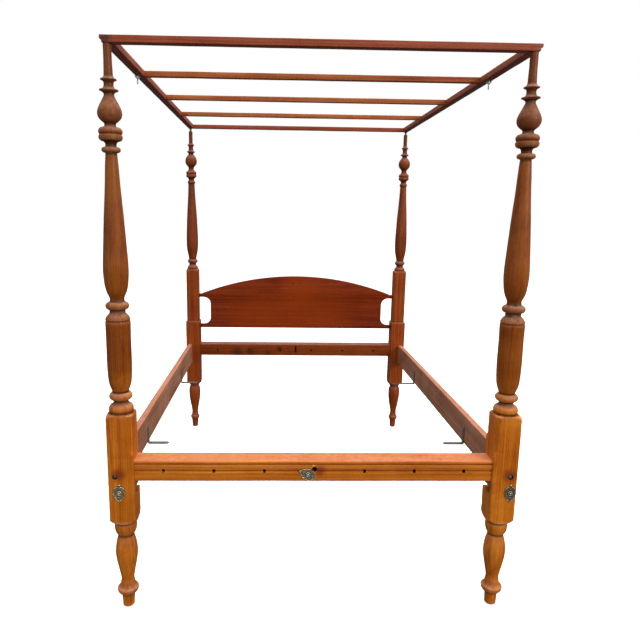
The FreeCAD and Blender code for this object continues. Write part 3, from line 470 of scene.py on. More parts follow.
HONEY = dict(dark=(0.17, 0.034, 0.002), middle=(0.43, 0.105, 0.005), light=(0.66, 0.22, 0.018))
RUSSET = dict(dark=(0.085, 0.012, 0.001), middle=(0.23, 0.034, 0.003), light=(0.38, 0.085, 0.01))
MAHOGANY = dict(dark=(0.045, 0.004, 0.0004), middle=(0.14, 0.0135, 0.0006), light=(0.27, 0.036, 0.002))
CHESTNUT = dict(dark=(0.1, 0.02, 0.008), middle=(0.26, 0.052, 0.02), light=(0.38, 0.1, 0.045))
PLANK = dict(dark=(0.11, 0.04, 0.022), middle=(0.28, 0.11, 0.06), light=(0.46, 0.21, 0.13))
# Painted shade: tints that darken the upper turnings and the post tops above these heights.
UPPER_TURNING_SHADE = (0.82, 1.0, (0.5, 0.44, 0.4))
POST_TOP_SHADE = (1.72, 1.9, (0.7, 0.7, 2.4))
HEAD_TURNING_SHADE = (1.12, 1.25, (0.72, 0.75, 0.8))
# Pale colours for dusty and rubbed faces, which on upward faces and rail tops also stand for painted sheen.
RED_DUST_AND_SHEEN = (0.42, 0.2, 0.15)
TAN_DUST_AND_SHEEN = (0.52, 0.28, 0.17)
SALMON_DUST_AND_SHEEN = (0.6, 0.22, 0.12)
OLD_RED = (0.2, 0.026, 0.006)
FRESH = (0.75, 0.42, 0.2)
STAIN = (0.012, 0.006, 0.003)
RED_GLEAM = (0.28, 0.038, 0.001)


def middle_of(node, axis):
    """The middle of a node's box along one axis."""
    low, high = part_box(node)
    return (getattr(low, axis) + getattr(high, axis)) / 2


SIDES = {-1: "left", 1: "right"}
foot_line = middle_of("foot_post_left", "y")
head_line = middle_of("head_post_left", "y")
post_x = middle_of("foot_post_right", "x")
side_x = middle_of("side_rail_right", "x")
BLOCK = 49 * MM                      # half of a post's square block
RAIL = 0.041                         # half of an end rail's square section
SIDE_RAIL = 0.015                    # half of a side rail's thickness
SIDE_BOLT = 568 * MM                 # heights of the bolts of the side rails and the end rails
END_BOLT = 600 * MM
post_face = foot_line - BLOCK
rail_face = foot_line - RAIL


def post_wood(side):
    """The foot posts' wood, with the unfaded red patch round the bolt hole."""
    patch_x = side * (side_x - 0.009 + side * 0.005)
    shaded = ((patch_x, post_face, SIDE_BOLT + 0.008), 0.029, OLD_RED, 0.85)
    chip = ((-post_x + 0.047, post_face, 0.665), 0.005, FRESH, 0.9)
    return wood("foot_post_wood_" + SIDES[side], "Z",
                pith=(side * -post_x + 0.012, -foot_line + 0.01, 0), ring=0.006,
                dust_and_sheen=TAN_DUST_AND_SHEEN, grain=0.8, blotch=0.85, patches=[shaded, chip],
                shade_fades=[UPPER_TURNING_SHADE, POST_TOP_SHADE], **HONEY)


def spots(depth, tint, share, places):
    """Patches on one upright face, from (x, z, reach) for each."""
    return [((x, depth, z), reach, tint, share) for x, z, reach in places]


POST_WOOD = {side: post_wood(side) for side in SIDES}
HEAD_WOOD = wood("head_post_wood", "Z", pith=(-post_x, -head_line, 0), ring=0.006, dust_and_sheen=RED_DUST_AND_SHEEN,
                 shade_fades=[HEAD_TURNING_SHADE], **RUSSET)
HEAD_RAIL_WOOD = wood("head_rail_wood", "X", pith=(0, -head_line + 0.03, -0.56), dust_and_sheen=RED_DUST_AND_SHEEN,
                      patches=spots(head_line - RAIL, STAIN, 0.6, [
                          (-0.42, 0.56, 0.05), (-0.33, 0.575, 0.035), (-0.2, 0.55, 0.03),
                          (-0.12, 0.6, 0.02)]),
                      **{key: tuple(0.72 * c for c in tint) for key, tint in RUSSET.items()})
RAIL_WOOD = wood("foot_rail_wood", "X", pith=(0, -foot_line + 0.06, -0.53), ring=0.008, dust_and_sheen=SALMON_DUST_AND_SHEEN,
                 dust_and_sheen_share=0.3, grain=0.75,
                 patches=[((0.02, rail_face, 0.59), 0.024, OLD_RED, 0.8),
                          ((-0.004, rail_face, 0.612), 0.005, FRESH, 0.6)], **HONEY)
SIDE_WOOD = wood("side_rail_wood", "Y", pith=(-side_x - 0.05, 0, -0.52), ring=0.011, dust_and_sheen=SALMON_DUST_AND_SHEEN,
                 rough=(0.42, 0.62), coat=0.05, blotch=0.7, **PLANK)
# The headboard's bright red patches are painted sheen.
BOARD_WOOD = wood("headboard_wood", "X", pith=(0, -head_line + 0.12, -0.9), ring=0.012, blotch=0.35,
                  rough=(0.25, 0.42), coat=0.08, dust_and_sheen=RED_DUST_AND_SHEEN, grain=0.8,
                  patches=spots(head_line - 0.011, RED_GLEAM, 0.42, [
                      (0.12, 0.83, 0.3), (-0.28, 0.82, 0.2), (0.02, 1.0, 0.12)]), **MAHOGANY)
TESTER_CORNER = ((-0.737, foot_line - 0.018, 2.131), 0.021, (0.05, 0.03, 0.02), 0.85)
TESTER_WOOD = wood("tester_wood", "X", pith=(0, -foot_line, -2.1), ring=0.009, dust_and_sheen=RED_DUST_AND_SHEEN,
                   rough=(0.42, 0.6), coat=0.04, patches=[TESTER_CORNER], **CHESTNUT)
TESTER_SIDE_WOOD = wood("tester_side_wood", "Y", pith=(-0.7, 0, -2.1), ring=0.009, dust_and_sheen=RED_DUST_AND_SHEEN,
                        rough=(0.45, 0.65), coat=0.03, patches=[TESTER_CORNER], **CHESTNUT)
SLAT_WOOD = wood("slat_wood", "X", pith=(0, 0.02, -2.11), ring=0.01, dust_and_sheen=TAN_DUST_AND_SHEEN,
                 rough=(0.42, 0.6), coat=0.03,
                 dark=(0.15, 0.032, 0.01), middle=(0.34, 0.085, 0.022), light=(0.5, 0.17, 0.055))
PLUG_WOOD = wood("plug_wood", "Y", dust_and_sheen=RED_DUST_AND_SHEEN, dark=(0.02, 0.006, 0.003),
                 middle=(0.05, 0.012, 0.005), light=(0.09, 0.02, 0.008))
# Near-black wood for the walls of cut holes: painted shade.
BORE_SHADE_WOOD = wood("bore_shade_wood", "Y", dark=(0.006, 0.003, 0.002), middle=(0.02, 0.008, 0.004),
                 light=(0.04, 0.016, 0.008), rough=(0.7, 0.85), coat=0.0)
DULL_BRASS = old_metal("cover_brass_dull", (0.17, 0.135, 0.07), (0.035, 0.026, 0.014),
                       (0.6, 0.52, 0.36), (0.32, 0.5), 0.6, 160)
BRASS = old_metal("cover_brass", (0.27, 0.22, 0.12), (0.06, 0.048, 0.026),
                  (0.85, 0.76, 0.55), (0.28, 0.45), 0.6, 160)
IRON = old_metal("iron", (0.14, 0.135, 0.11), (0.05, 0.045, 0.036),
                 (0.34, 0.33, 0.28), (0.4, 0.62), 0.3, 90)
STEEL = old_metal("screw_steel", (0.28, 0.24, 0.2), (0.09, 0.07, 0.06),
                  (0.5, 0.46, 0.42), (0.35, 0.55), 0.85, 200)
ZINC = old_metal("zinc_steel", (0.55, 0.6, 0.65), (0.3, 0.33, 0.36),
                 (0.8, 0.84, 0.88), (0.3, 0.45), 0.6, 120)


# ---------------------------------------------------------------- posts

# Turned outlines in millimetres: radius and height, one moulding to a step.
FOOT_BELOW = ((17, 0), [
    [(21.2, 2.5), (22.5, 9)], [(25, 45)], [(25.5, 56)],
    [(36, 61), (41, 73)], [(41.3, 79), (38, 83)], [(31, 92), (27.5, 105)],
    [(25.5, 118), (28, 140), (34.7, 175), (40.9, 210), (42.8, 240), (40.5, 266),
     (35, 293), (31, 306)],
    [(30, 310)], [(35.5, 317), (40.5, 329), (42.8, 343), (42.3, 356), (38.5, 370)],
])
FOOT_ABOVE = ((43, 811), [
    [(41, 812)], [(46, 825), (40, 841)], [(31, 846), (27, 856)],
    [(30, 860)], [(43, 875), (30, 890)],
    [(31.5, 897), (36.5, 911), (41, 927), (43.5, 950), (45, 985), (45, 1110), (45.7, 1158)],
    [(43, 1163)], [(45.2, 1167)], [(40, 1179), (29, 1190)],
    [(28.9, 1203)], [(42.5, 1218), (28, 1232)],
    [(26, 1243), (32, 1260), (39.3, 1282), (43.6, 1312), (45.3, 1352), (43, 1405),
     (39.2, 1470), (33, 1562), (27, 1646), (22.4, 1728), (20, 1756)],
    [(21, 1760)], [(33, 1769), (21, 1778)], [(19.2, 1787), (26, 1798)],
    [(41, 1809), (37.5, 1821)], [(41, 1833), (26, 1845)], [(19.5, 1853), (25, 1862)],
    [(38.8, 1877), (42, 1893), (38, 1909), (24.5, 1936), (17.8, 1950)],
    [(18, 1957)], [(24, 1962), (32.5, 1966)], [(32.5, 1969)],
    [(22, 1973), (16.8, 1984)], [(16.8, 1992)], [(21, 1998), (27.5, 2001)],
    [(27.5, 2004)], [(19, 2009), (15.5, 2020)], [(14.2, 2066)],
    [(14.2, 2119)],
])
HEAD_BELOW = ((15, 0), [
    [(18, 3), (18.7, 9)], [(21.5, 30)], [(23, 58)], [(31, 74), (24, 90)],
    [(21.5, 108), (25.6, 151), (31.5, 181), (36.3, 212), (40.5, 264), (35.6, 304), (29, 319)],
    [(31, 321)], [(38, 328), (33, 334)],
])
HEAD_ABOVE = ((36, 1166), [
    [(35, 1180), (24, 1192)], [(24, 1206)], [(34.5, 1220), (25, 1234)],
    [(26, 1243), (31, 1269), (36.5, 1297), (39.7, 1340), (40, 1376), (37, 1464),
     (32.5, 1547), (27, 1629), (23, 1700), (21, 1752)],
    [(26, 1762), (20, 1772)], [(18.5, 1782), (24, 1792)], [(34.5, 1804), (31.5, 1815)],
    [(34.5, 1826), (24, 1838)], [(17.5, 1852), (22, 1868)],
    [(33, 1880), (39, 1903), (33, 1926), (18, 1946)], [(16, 1953)],
    [(21, 1959), (28, 1963)], [(28, 1966)], [(18, 1973), (15, 1985)],
    [(15, 1997)], [(18, 2004), (23.5, 2008)], [(23.5, 2011)],
    [(15.5, 2018), (12.5, 2034)], [(12.5, 2098)],
])
ROUND = 1e6                          # a turning radius that limits nothing


def thickened(points, longest=14):
    """The same outline with its long steps divided."""
    made = [points[0]]
    for a, b in zip(points, points[1:]):
        parts = max(1, math.ceil(math.dist(a, b) / longest))
        made += [(a[0] + (b[0] - a[0]) * k / parts, a[1] + (b[1] - a[1]) * k / parts)
                 for k in range(1, parts + 1)]
    return made


def block_levels(low, high, square):
    """Levels of a square stretch: (turning limit, height, half side), rounded at both ends."""
    levels = [(r, z, square) for r, z in arc(*low, 12)]
    z = levels[-1][1]
    while z < high[0][1] - 12:
        z += 10
        levels.append((ROUND, z, square))
    levels.append((*high[0], square))
    levels += [(r, z, square) for r, z in arc(*high, 12)]
    return levels


FACE_STEPS = 32
NEARBY = 13                          # millimetres along a post that a ridge or hollow is judged by
COUNTERBORE = 10 * MM
BOLT_HOLE = 5.5 * MM
SUNK = 0.012                         # depth of a counterbore


def ring_angles():
    """Angles round a post, closer together towards the corners of its square."""
    made = []
    for quarter in range(4):
        for k in range(FACE_STEPS):
            t = 2 * k / FACE_STEPS - 1
            lean = math.copysign(1 - (1 - abs(t)) ** 1.7, t)
            made.append(math.radians(90 * quarter + 45 * lean))
    return made


def square_reach(angle, half, power):
    """Distance from the axis to the side of a square with slightly rounded corners."""
    c, s = abs(math.cos(angle)), abs(math.sin(angle))
    return half / (c ** power + s ** power) ** (1 / power)


def turned_post(name, x, y, levels, material, planes, seed):
    """A post drawn round its axis, as the lesser of its turning, its square and its chamfers.

    levels hold (turning radius, height, half side of the square or None), and each plane is
    (direction, function of the height giving its distance from the axis), all in millimetres.
    """
    angles = ring_angles()
    heights = np.array([level[1] for level in levels])
    radii = np.array([min(level[0], (level[2] or ROUND) * 1.12) for level in levels])
    rings = []
    for radius, z, half in levels:
        ring = []
        power = 26 + 9 * wander(0, 0, z * MM, 25, seed)
        out_of_round = 0.25 if half is None else 0
        for angle in angles:
            reach = radius + out_of_round * math.cos(2 * angle + seed)
            if half is not None:
                reach = min(reach, square_reach(angle, half, power))
            for direction, distance in planes:
                facing = math.cos(angle - direction)
                if facing > 0.5:
                    reach = min(reach, distance(z) / facing)
            px = math.cos(angle) * reach * MM
            py = math.sin(angle) * reach * MM
            worn = 0.25 * wander(px, py, z * MM, 60, seed)
            if half is not None and reach > half * 1.25:
                worn += 1.6 * min(0, wander(px * 0.3, py * 0.3, z * MM, 45, seed + 3) + 0.12)
            scale = 1 + worn / max(reach, 1)
            ring.append((x + px * scale, y + py * scale, z * MM))
        rings.append(ring)
    post = loft(name, rings, material, 32)
    # Per level: paler on worn ridges and on dusty upward faces, which is also painted sheen; darker in
    # hollows with dirt and painted shade.
    wear_and_sheen, grime_and_shade = [], []
    falling = np.clip(-np.gradient(radii, heights + np.arange(len(heights)) * 1e-4), 0, 3)
    for level, z in enumerate(heights):
        near = np.abs(heights - z) < NEARBY
        base = np.interp(np.linspace(z - NEARBY, z + NEARBY, 27), heights, radii).mean()
        rise = (radii[level] - base) / 7
        if levels[level][2] is not None and near.all():
            rise = 0
        upward_dust_and_sheen = 0 if levels[level][2] is not None else 0.95 * min(1, falling[level] / 1.1)
        wear_and_sheen += [max(0.0, min(1.0, rise), upward_dust_and_sheen)] * len(angles)
        grime_and_shade += [max(0.0, min(0.88, -rise * 2.0 - 0.1))] * len(angles)
    paint(post, "wear_and_sheen", wear_and_sheen)
    paint(post, "grime_and_shade", grime_and_shade)
    return post


def step(z, low, high):
    """A smooth rise from 0 at low to 1 at high."""
    t = max(0.0, min(1.0, (z - low) / (high - low)))
    return t * t * (3 - 2 * t)


def bolt_bores(x, y, side, inward):
    """Cutters for the counterbores of a post's two bolts and the holes beyond them."""
    face = y - inward * BLOCK
    reach = inward * SUNK
    outside = x + side * BLOCK
    side_hole = x + side * 22 * MM
    rods = [
        (COUNTERBORE, (side_hole, face - reach, SIDE_BOLT), (0, 2 * reach, 0)),
        (BOLT_HOLE, (side_hole, face, SIDE_BOLT), (0, inward * 2 * BLOCK + reach, 0)),
        (COUNTERBORE, (outside + side * SUNK, y, END_BOLT), (-side * 2 * SUNK, 0, 0)),
        (BOLT_HOLE, (outside, y, END_BOLT), (-side * (2 * BLOCK + SUNK), 0, 0)),
    ]
    # The cut walls take the near-black bore material: painted shade.
    return [rod(radius, start, run, material=BORE_SHADE_WOOD) for radius, start, run in rods]


def rod(radius, start, run, segments=28, material=None):
    """A plain round bar or cutter from start along run."""
    start, run = Vector(start), Vector(run)
    aside = run.orthogonal().normalized()
    across = run.normalized().cross(aside)
    rings = []
    for end in (start, start + run):
        ring = []
        for k in range(segments):
            a = 2 * math.pi * k / segments
            ring.append(end + radius * (math.cos(a) * aside + math.sin(a) * across))
        rings.append(ring)
    return loft("rod", rings, material, 60)


def turnings(shape):
    """Levels of a turned stretch."""
    return [(r, z, None) for r, z in thickened(outline(*shape))]


def shown_post(kind, side, line, levels, material, planes, seed, inward, notches):
    """Turns one post, cuts its holes and shows it in place of its node."""
    name = "%s_post_%s" % (kind, SIDES[side])
    post = turned_post(name + "_turned", side * post_x, line, levels, material, planes, seed)
    for tool in bolt_bores(side * post_x, line, side, inward) + notches:
        boolean(post, tool)
    smooth(post, 32)
    stand_for(post, "bedstead", name)


def foot_post(side):
    """A foot post: its block's inner corners are chamfered, and notched below the side rail."""
    shoulders = (((38.5, 370), (61.2, 379.6), (70, 402)), ((70, 786), (62.5, 804), (43, 811)))
    levels = turnings(FOOT_BELOW) + block_levels(*shoulders, 49) + turnings(FOOT_ABOVE)

    def front_chamfer(z):
        return 69.3 - 9.9 * step(z, 650, 666)

    def rear_chamfer(z):
        return 69.3 - 9.9 * step(z, 702, 718)

    planes = [(math.radians(-45 if side < 0 else -135), front_chamfer),
              (math.radians(45 if side < 0 else 135), rear_chamfer)]
    inner = side * (post_x - BLOCK)
    notch = block((inner + side * 0.026, inner - side * 0.01), (foot_line - 0.0245, foot_line + 0.06),
                  (0.490, 0.516))
    shown_post("foot", side, foot_line, levels, POST_WOOD[side], planes, 3.1 * side + 7, 1, [notch])


def head_post(side):
    """A head post: square block, then a slimmer shaft with all its corners chamfered."""
    shoulders = (((34, 334), (60, 345), (70, 372)), ((70, 789), (69.8, 791), (69.5, 792)))
    levels = turnings(HEAD_BELOW)
    levels += [level for level in block_levels(*shoulders, 49) if level[1] < 792.5]
    levels += [(68, 794, 48), (64, 797, 45), (62, 799, 42.4), (62, 800, 42)]
    levels += [(62, z, 42) for z in range(810, 1140, 10)]
    levels += [(r, z, 42) for r, z in arc((60, 1144), (52, 1158), (38, 1166), 10)]
    levels += turnings(HEAD_ABOVE)

    def chamfer(z):
        return 72 - 19 * step(z, 794, 800)

    planes = [(math.radians(45 + 90 * k), chamfer) for k in range(4)]
    shown_post("head", side, head_line, levels, HEAD_WOOD, planes, 5.3 * side + 31, -1, [])


# ---------------------------------------------------------------- rails and headboard

def run_rail(name, section, start, end, axis, centre, material, spacing, wear_depth, seed, hollows=()):
    """A rail drawn along an axis: its section repeats, with its arrises unevenly worn.

    hollows are the spans of the section's height in which its front face has a groove.
    """
    count = max(2, round((end - start) / spacing))
    reach = max(math.hypot(a, b) for a, b in section)
    front = min(a for a, _ in section)
    top = max(b for _, b in section)
    rings = []
    wear_and_sheen, grime_and_shade = [], []
    for number in range(count + 1):
        t = start + (end - start) * number / count
        ring = []
        for k, (a, b) in enumerate(section):
            before = section[k - 1]
            after = section[(k + 1) % len(section)]
            turn = abs(math.atan2(after[1] - b, after[0] - a) - math.atan2(b - before[1], a - before[0]))
            turn = min(turn, 2 * math.pi - turn)
            corner = min(1.0, turn / 0.5) * (math.hypot(a, b) / reach)
            rub = max(0, wander(t, a * 8, b * 8, 14, seed)) * wear_depth * corner
            shrink = 1 - rub / max(math.hypot(a, b), 1e-6)
            sway = 0.0003 * wander(t, 0, 0, 4, seed + 2)
            a2, b2 = a * shrink + sway, b * shrink + sway
            if axis == "X":
                ring.append((t, centre[0] + a2, centre[1] + b2))
            else:
                ring.append((centre[0] + a2, t, centre[1] + b2))
            # Darker inside the front groove: dirt and painted shade.
            inset = a - front if any(low < b < high for low, high in hollows) and a < 0 else 0
            grime_and_shade.append(min(0.5, inset / 0.006))
            rubbed = corner * (0.45 + 0.4 * wander(t, a * 5, b * 5, 22, seed + 8))
            # The top face is made pale: painted sheen of the overhead light.
            if b > top - 0.0006:
                rubbed = 0.85 + 0.3 * wander(t, a, b, 11, seed + 4)
            wear_and_sheen.append(0 if inset else max(0.0, min(1.0, rubbed)))
        rings.append(ring if axis == "X" else ring[::-1])
    rail = loft(name, rings, material, 30)
    for kind, values in (("wear_and_sheen", wear_and_sheen), ("grime_and_shade", grime_and_shade)):
        rows = [values[k:k + len(section)] for k in range(0, len(values), len(section))]
        paint(rail, kind, [value for row in rows for value in (row if axis == "X" else row[::-1])])
    return rail


def scaled(points):
    """Pairs of millimetres in metres."""
    return [(a * MM, b * MM) for a, b in points]


def split_long(points, longest):
    """Divides the long sides of a closed section."""
    made = []
    for a, b in zip(points, points[1:] + points[:1]):
        parts = max(1, math.ceil(math.dist(a, b) / longest))
        made += [(a[0] + (b[0] - a[0]) * k / parts, a[1] + (b[1] - a[1]) * k / parts)
                 for k in range(parts)]
    return made


def rope_hole(rail, x, face, z):
    """A rope hole through a rail, its mouth rubbed wider by the rope."""
    mouth = [(7.6, -1), (7.6, 0), (6.9, 0.7), (6.5, 2.5), (6.5, 90)]
    # The hole's walls take the near-black bore material: painted shade.
    boolean(rail, lathe("mouth", scaled(mouth), (x, face, z), "Y", 24, BORE_SHADE_WOOD, 50))


def square_section(front):
    """An end rail's section in millimetres, with the given path down its front."""
    return outline((41, -38), [[(41, 38)], [(40.1, 40.1), (38, 41)]] + front + [
        [(-41, -38)], [(-40.1, -40.1), (-38, -41)], [(38, -41)], [(40.1, -40.1), (41, -38)]], 5)[:-1]


def end_rails():
    """The foot rail, beaded and grooved, and the plain head rail."""
    length = post_x - BLOCK
    middle = middle_of("foot_rail", "z")
    section = square_section([
        [(-34, 41)], [(-39.1, 39.2), (-41, 34)], [(-40.7, 31), (-38.6, 28.4)], [(-38.4, 25.4)],
        [(-40.6, 24.2)], [(-41, 23)], [(-41, 5.6)], [(-40.4, 4.6), (-38.8, 3.6)],
        [(-37.3, 1), (-38.8, -1.6)], [(-40.4, -2.6), (-41, -3.6)]])
    rail = run_rail("foot_rail_moulded", scaled(split_long(section, 12)), -length, length, "X",
                    (foot_line, middle), RAIL_WOOD, 0.012, 0.0011, 2.0,
                    [(-0.0036, 0.0056), (0.024, 0.031)])
    for number in (-3, -2, -1, 1, 2, 3):
        rope_hole(rail, number * 0.192, rail_face, 0.590)
    # The bolt hole's walls take the near-black bore material: painted shade.
    boolean(rail, rod(COUNTERBORE, (0, rail_face - 0.01, 0.597), (0, 0.022, 0), 24, BORE_SHADE_WOOD))
    boolean(rail, rod(BOLT_HOLE, (0, rail_face, 0.597), (0, 0.092, 0), 20, BORE_SHADE_WOOD))
    smooth(rail, 30)
    stand_for(rail, "bedstead", "foot_rail")

    section = square_section([[(-37, 41)], [(-39.8, 39.8), (-41, 37)]])
    rail = run_rail("head_rail_squared", scaled(split_long(section, 12)), -length, length, "X",
                    (head_line, middle), HEAD_RAIL_WOOD, 0.014, 0.0012, 9.0)
    face = head_line - RAIL
    for number in (-2.5, -1.5, -0.5, 0.5, 1.5, 2.5):
        rope_hole(rail, number * 0.225, face, 0.587)
    boolean(rail, block((-0.006, 0.006), (face - 0.01, face + 0.03), (0.569, 0.619)))
    smooth(rail, 30)
    stand_for(rail, "bedstead", "head_rail")


def side_rails():
    """The two deep plank rails."""
    section = outline((15, -63), [
        [(15, 61)], [(13.8, 63.8), (11, 65)], [(-11, 65)], [(-13.8, 63.8), (-15, 61)], [(-15, -63)],
        [(-14.4, -64.4), (-13, -65)], [(13, -65)], [(14.4, -64.4), (15, -63)]], 5)[:-1]
    for side, name in SIDES.items():
        rail = run_rail("side_rail_%s_plank" % name, scaled(split_long(section, 14)),
                        foot_line + BLOCK, head_line - BLOCK, "Y", (side * side_x, 0.565), SIDE_WOOD,
                        0.02, 0.001, 14.0 * side)
        stand_for(rail, "bedstead", "side_rail_" + name)


def headboard():
    """The arched board, with the D-shaped gaps beside the posts, and its two plugs."""
    low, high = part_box("headboard")
    bottom, crown = low.z / MM, high.z / MM
    gap = 612
    reach = post_x / MM - BLOCK / MM
    upper = post_x / MM - 42
    half = outline((reach, bottom), [
        [(reach, 772)], [(gap + 48, 772)], [(gap + 12, 788), (gap, 826)], [(gap, 912)],
        [(gap + 12, 950), (gap + 48, 966)], [(upper, 966)], [(upper, 990)], [(gap + 60, 990)],
        [(gap + 50, 996)]], 10)
    crest = arc((gap + 50, 996), (0, crown), (-gap - 50, 996), 60)[:-1]
    points = half + crest + [(-x, z) for x, z in reversed(half)]
    bm = bmesh.new()
    face = bm.faces.new([bm.verts.new((x * MM, low.y, z * MM)) for x, z in points])
    for item in bmesh.ops.extrude_face_region(bm, geom=[face])["geom"]:
        if isinstance(item, bmesh.types.BMVert):
            item.co.y = high.y
    bmesh.ops.recalc_face_normals(bm, faces=bm.faces)
    rims = [e for e in bm.edges
            if e.calc_face_angle(0) > 1.2 and abs(e.verts[0].co.y - e.verts[1].co.y) < 1e-6]
    bmesh.ops.bevel(bm, geom=rims, offset=0.0022, segments=4, profile=0.5, affect="EDGES")
    board = from_bmesh("headboard_board", bm, [BOARD_WOOD])
    smooth(board, 35)
    stand_for(board, "bedstead", "headboard")

    dome = [(0.0005, -0.0006), (0.003, -0.0005), (0.0046, 0.0), (0.005, 0.0006), (0.005, 0.0214),
            (0.0046, 0.022), (0.0005, 0.022)]
    plugs = [lathe("plug", dome, (side * 0.025, low.y - 0.0002, 1.070), "Y", 24, PLUG_WOOD)
             for side in SIDES]
    stand_together("headboard_plugs_turned", plugs, "bedstead", "headboard_plugs")


# ---------------------------------------------------------------- ironwork

def strip(name, path, normals, widths, thick, across, material):
    """A bar bent along a path: at each point its normal, its width, and one common cross way."""
    rings = []
    for point, normal, width in zip(path, normals, widths):
        a = Vector(across) * width / 2
        n = Vector(normal) * thick
        p = Vector(point)
        soft = min(0.0008, width * 0.2)
        b = Vector(across) * (width / 2 - soft)
        e = Vector(normal) * soft
        rings.append([p - b, p + b, p + a + e, p + a + n - e,
                      p + b + n, p - b + n, p - a + n - e, p - a + e])
    return loft(name, rings, material, 50)


def rounded_tip(half, steps=7):
    """How far back from a round end, and how wide, for each station along the last half width."""
    made = []
    for k in range(1, steps + 1):
        a = math.pi / 2 * (1 - k / steps)
        made.append((half * (1 - math.cos(math.pi / 2 - a)), 2 * half * math.cos(a)))
    return made


def hanger(name, side, y, wall):
    """An angle iron: screwed to the side rail, with a round-ended foot under the mattress base."""
    low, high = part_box(name)
    half = 0.0125
    inward = -side
    bend = 0.005
    stations = []
    for back, width in rounded_tip(half):
        stations.append(((wall, y, high.z - back), (inward, 0, 0), max(width, 0.003)))
    stations.append(((wall, y, low.z + bend + 0.02), (inward, 0, 0), 2 * half))
    for k in range(7):
        a = math.pi / 2 * k / 6
        centre = Vector((wall + inward * bend, y, low.z + bend))
        outward = Vector((-inward * math.cos(a), 0, -math.sin(a)))
        stations.append((centre + outward * bend, -outward, 2 * half))
    tip = wall + inward * 0.096
    stations += [((tip - inward * back, y, low.z), (0, 0, 1), max(width, 0.003))
                 for back, width in reversed(rounded_tip(half))]
    path, normals, widths = zip(*stations)
    iron = strip(name + "_forged", path, normals, widths, 0.004, (0, 1, 0), IRON)
    tidy_normals(iron, 35)
    stand_for(iron, "bedstead", name)


def screw_head(place, side):
    """A slotted round head on the inner face of a side rail's hanger."""
    dome = [(0.0004, 0.0027), (0.0016, 0.0026), (0.003, 0.0021), (0.0041, 0.0011), (0.0045, 0.0),
            (0.0045, -0.0004), (0.002, -0.0005), (0.002, -0.018), (0.0005, -0.0185)]
    head = lathe("screw", dome[::-1], place, "X" if side < 0 else "-X", 24, STEEL, 50)
    x, y, z = place
    boolean(head, block((x - side * 0.0014, x - side * 0.004), (y - 0.0005, y + 0.0005),
                        (z - 0.006, z + 0.006)))
    return head


def hangers():
    """The four hangers and their screws."""
    heads = []
    for side in SIDES:
        for end in ("foot", "head"):
            name = "hanger_%s_%s" % (end, SIDES[side])
            y = middle_of(name, "y")
            wall = side * (side_x - SIDE_RAIL)
            hanger(name, side, y, wall)
            heads += [screw_head((wall - side * 0.004, y, z), side) for z in (0.528, 0.566)]
    stand_together("hanger_screws_slotted", heads, "bedstead", "hanger_screws")


def square_bar(centre, half, run, material):
    """A square head with eased edges, from centre along run."""
    run = Vector(run)
    length = run.length
    way = run.normalized()
    up = Vector((0, 0, 1))
    aside = way.cross(up)
    rings = []
    for along, inset in ((0, 0.0012), (0.0012, 0), (length - 0.0015, 0), (length, 0.0018)):
        ring = []
        for k in range(32):
            a = 2 * math.pi * (k + 0.5) / 32
            reach = square_reach(a, half - inset, 18)
            ring.append(Vector(centre) + way * along
                        + aside * reach * math.cos(a) + up * reach * math.sin(a))
        rings.append(ring)
    return loft("head", rings, material, 40)


def bed_bolts():
    """Square-headed bolts on the floors of their counterbores, with the nuts in the rails."""
    side_bolts, end_bolts, nuts = [], [], []
    seat = BLOCK - SUNK
    for side in SIDES:
        for line, inward in ((foot_line, 1), (head_line, -1)):
            for bolts, start, way, length, nut in (
                    (side_bolts, (side * side_x, line - inward * seat, SIDE_BOLT), (0, inward, 0),
                     0.162, 0.060),
                    (end_bolts, (side * (post_x + seat), line, END_BOLT), (-side, 0, 0), 0.188, 0.086)):
                start, way = Vector(start), Vector(way)
                bolts.append(square_bar(start, 0.0065, -way * 0.008, IRON))
                bolts.append(rod(0.005, start, way * length, 20, IRON))
                nuts.append(square_bar(start + way * (seat + BLOCK + nut), 0.010, way * 0.008, IRON))
    for name, pieces in (("side_bed_bolts", side_bolts), ("end_bed_bolts", end_bolts),
                         ("bed_bolt_nuts", nuts)):
        whole = merged(name + "_forged", pieces)
        tidy_normals(whole, 40)
        stand_for(whole, "bedstead", name)


# ---------------------------------------------------------------- bolt covers

COVER_EDGE = ((0, 5.5), [
    [(3.5, 4.4), (5, 1)], [(5, -3), (8, -5.5)], [(16.5, -9), (22, -17)],
    [(21.5, -26), (25, -33)], [(20.2, -40), (20, -47)],
    [(14.5, -51.5), (12.5, -58.5)], [(5.5, -62), (0, -71)],
])
COVER_MIDDLE = -31.0                 # height of the boss from the pin
COVER_ROUND = 26.0                   # reach of the round form that the rings start from


def cover_height(reach, share, angle):
    """Relief of a cover, in millimetres off its back: reach in millimetres, share of the way out."""
    knob = 3.6 * math.sqrt(max(0.0, 1 - (reach / 4.0) ** 2))
    dish = -1.4 * math.exp(-((reach - 5.6) / 1.3) ** 2)
    boss = 2.6 * step(10.5 - reach, 0, 3.2)
    collar = 0.9 * math.exp(-((reach - 9.0) / 0.9) ** 2)
    petals = 1.15 * math.exp(-((share - 0.62) / 0.13) ** 2) * (0.55 + 0.45 * math.cos(8 * angle))
    veins = 0.5 * math.exp(-((share - 0.78) / 0.07) ** 2) * (0.5 + 0.5 * math.cos(24 * angle))
    rim = 1.5 * math.exp(-((share - 0.925) / 0.035) ** 2)
    edge = -1.3 * step(share, 0.955, 1.0)
    return 2.0 + knob + dish + boss + collar + petals + veins + rim + edge


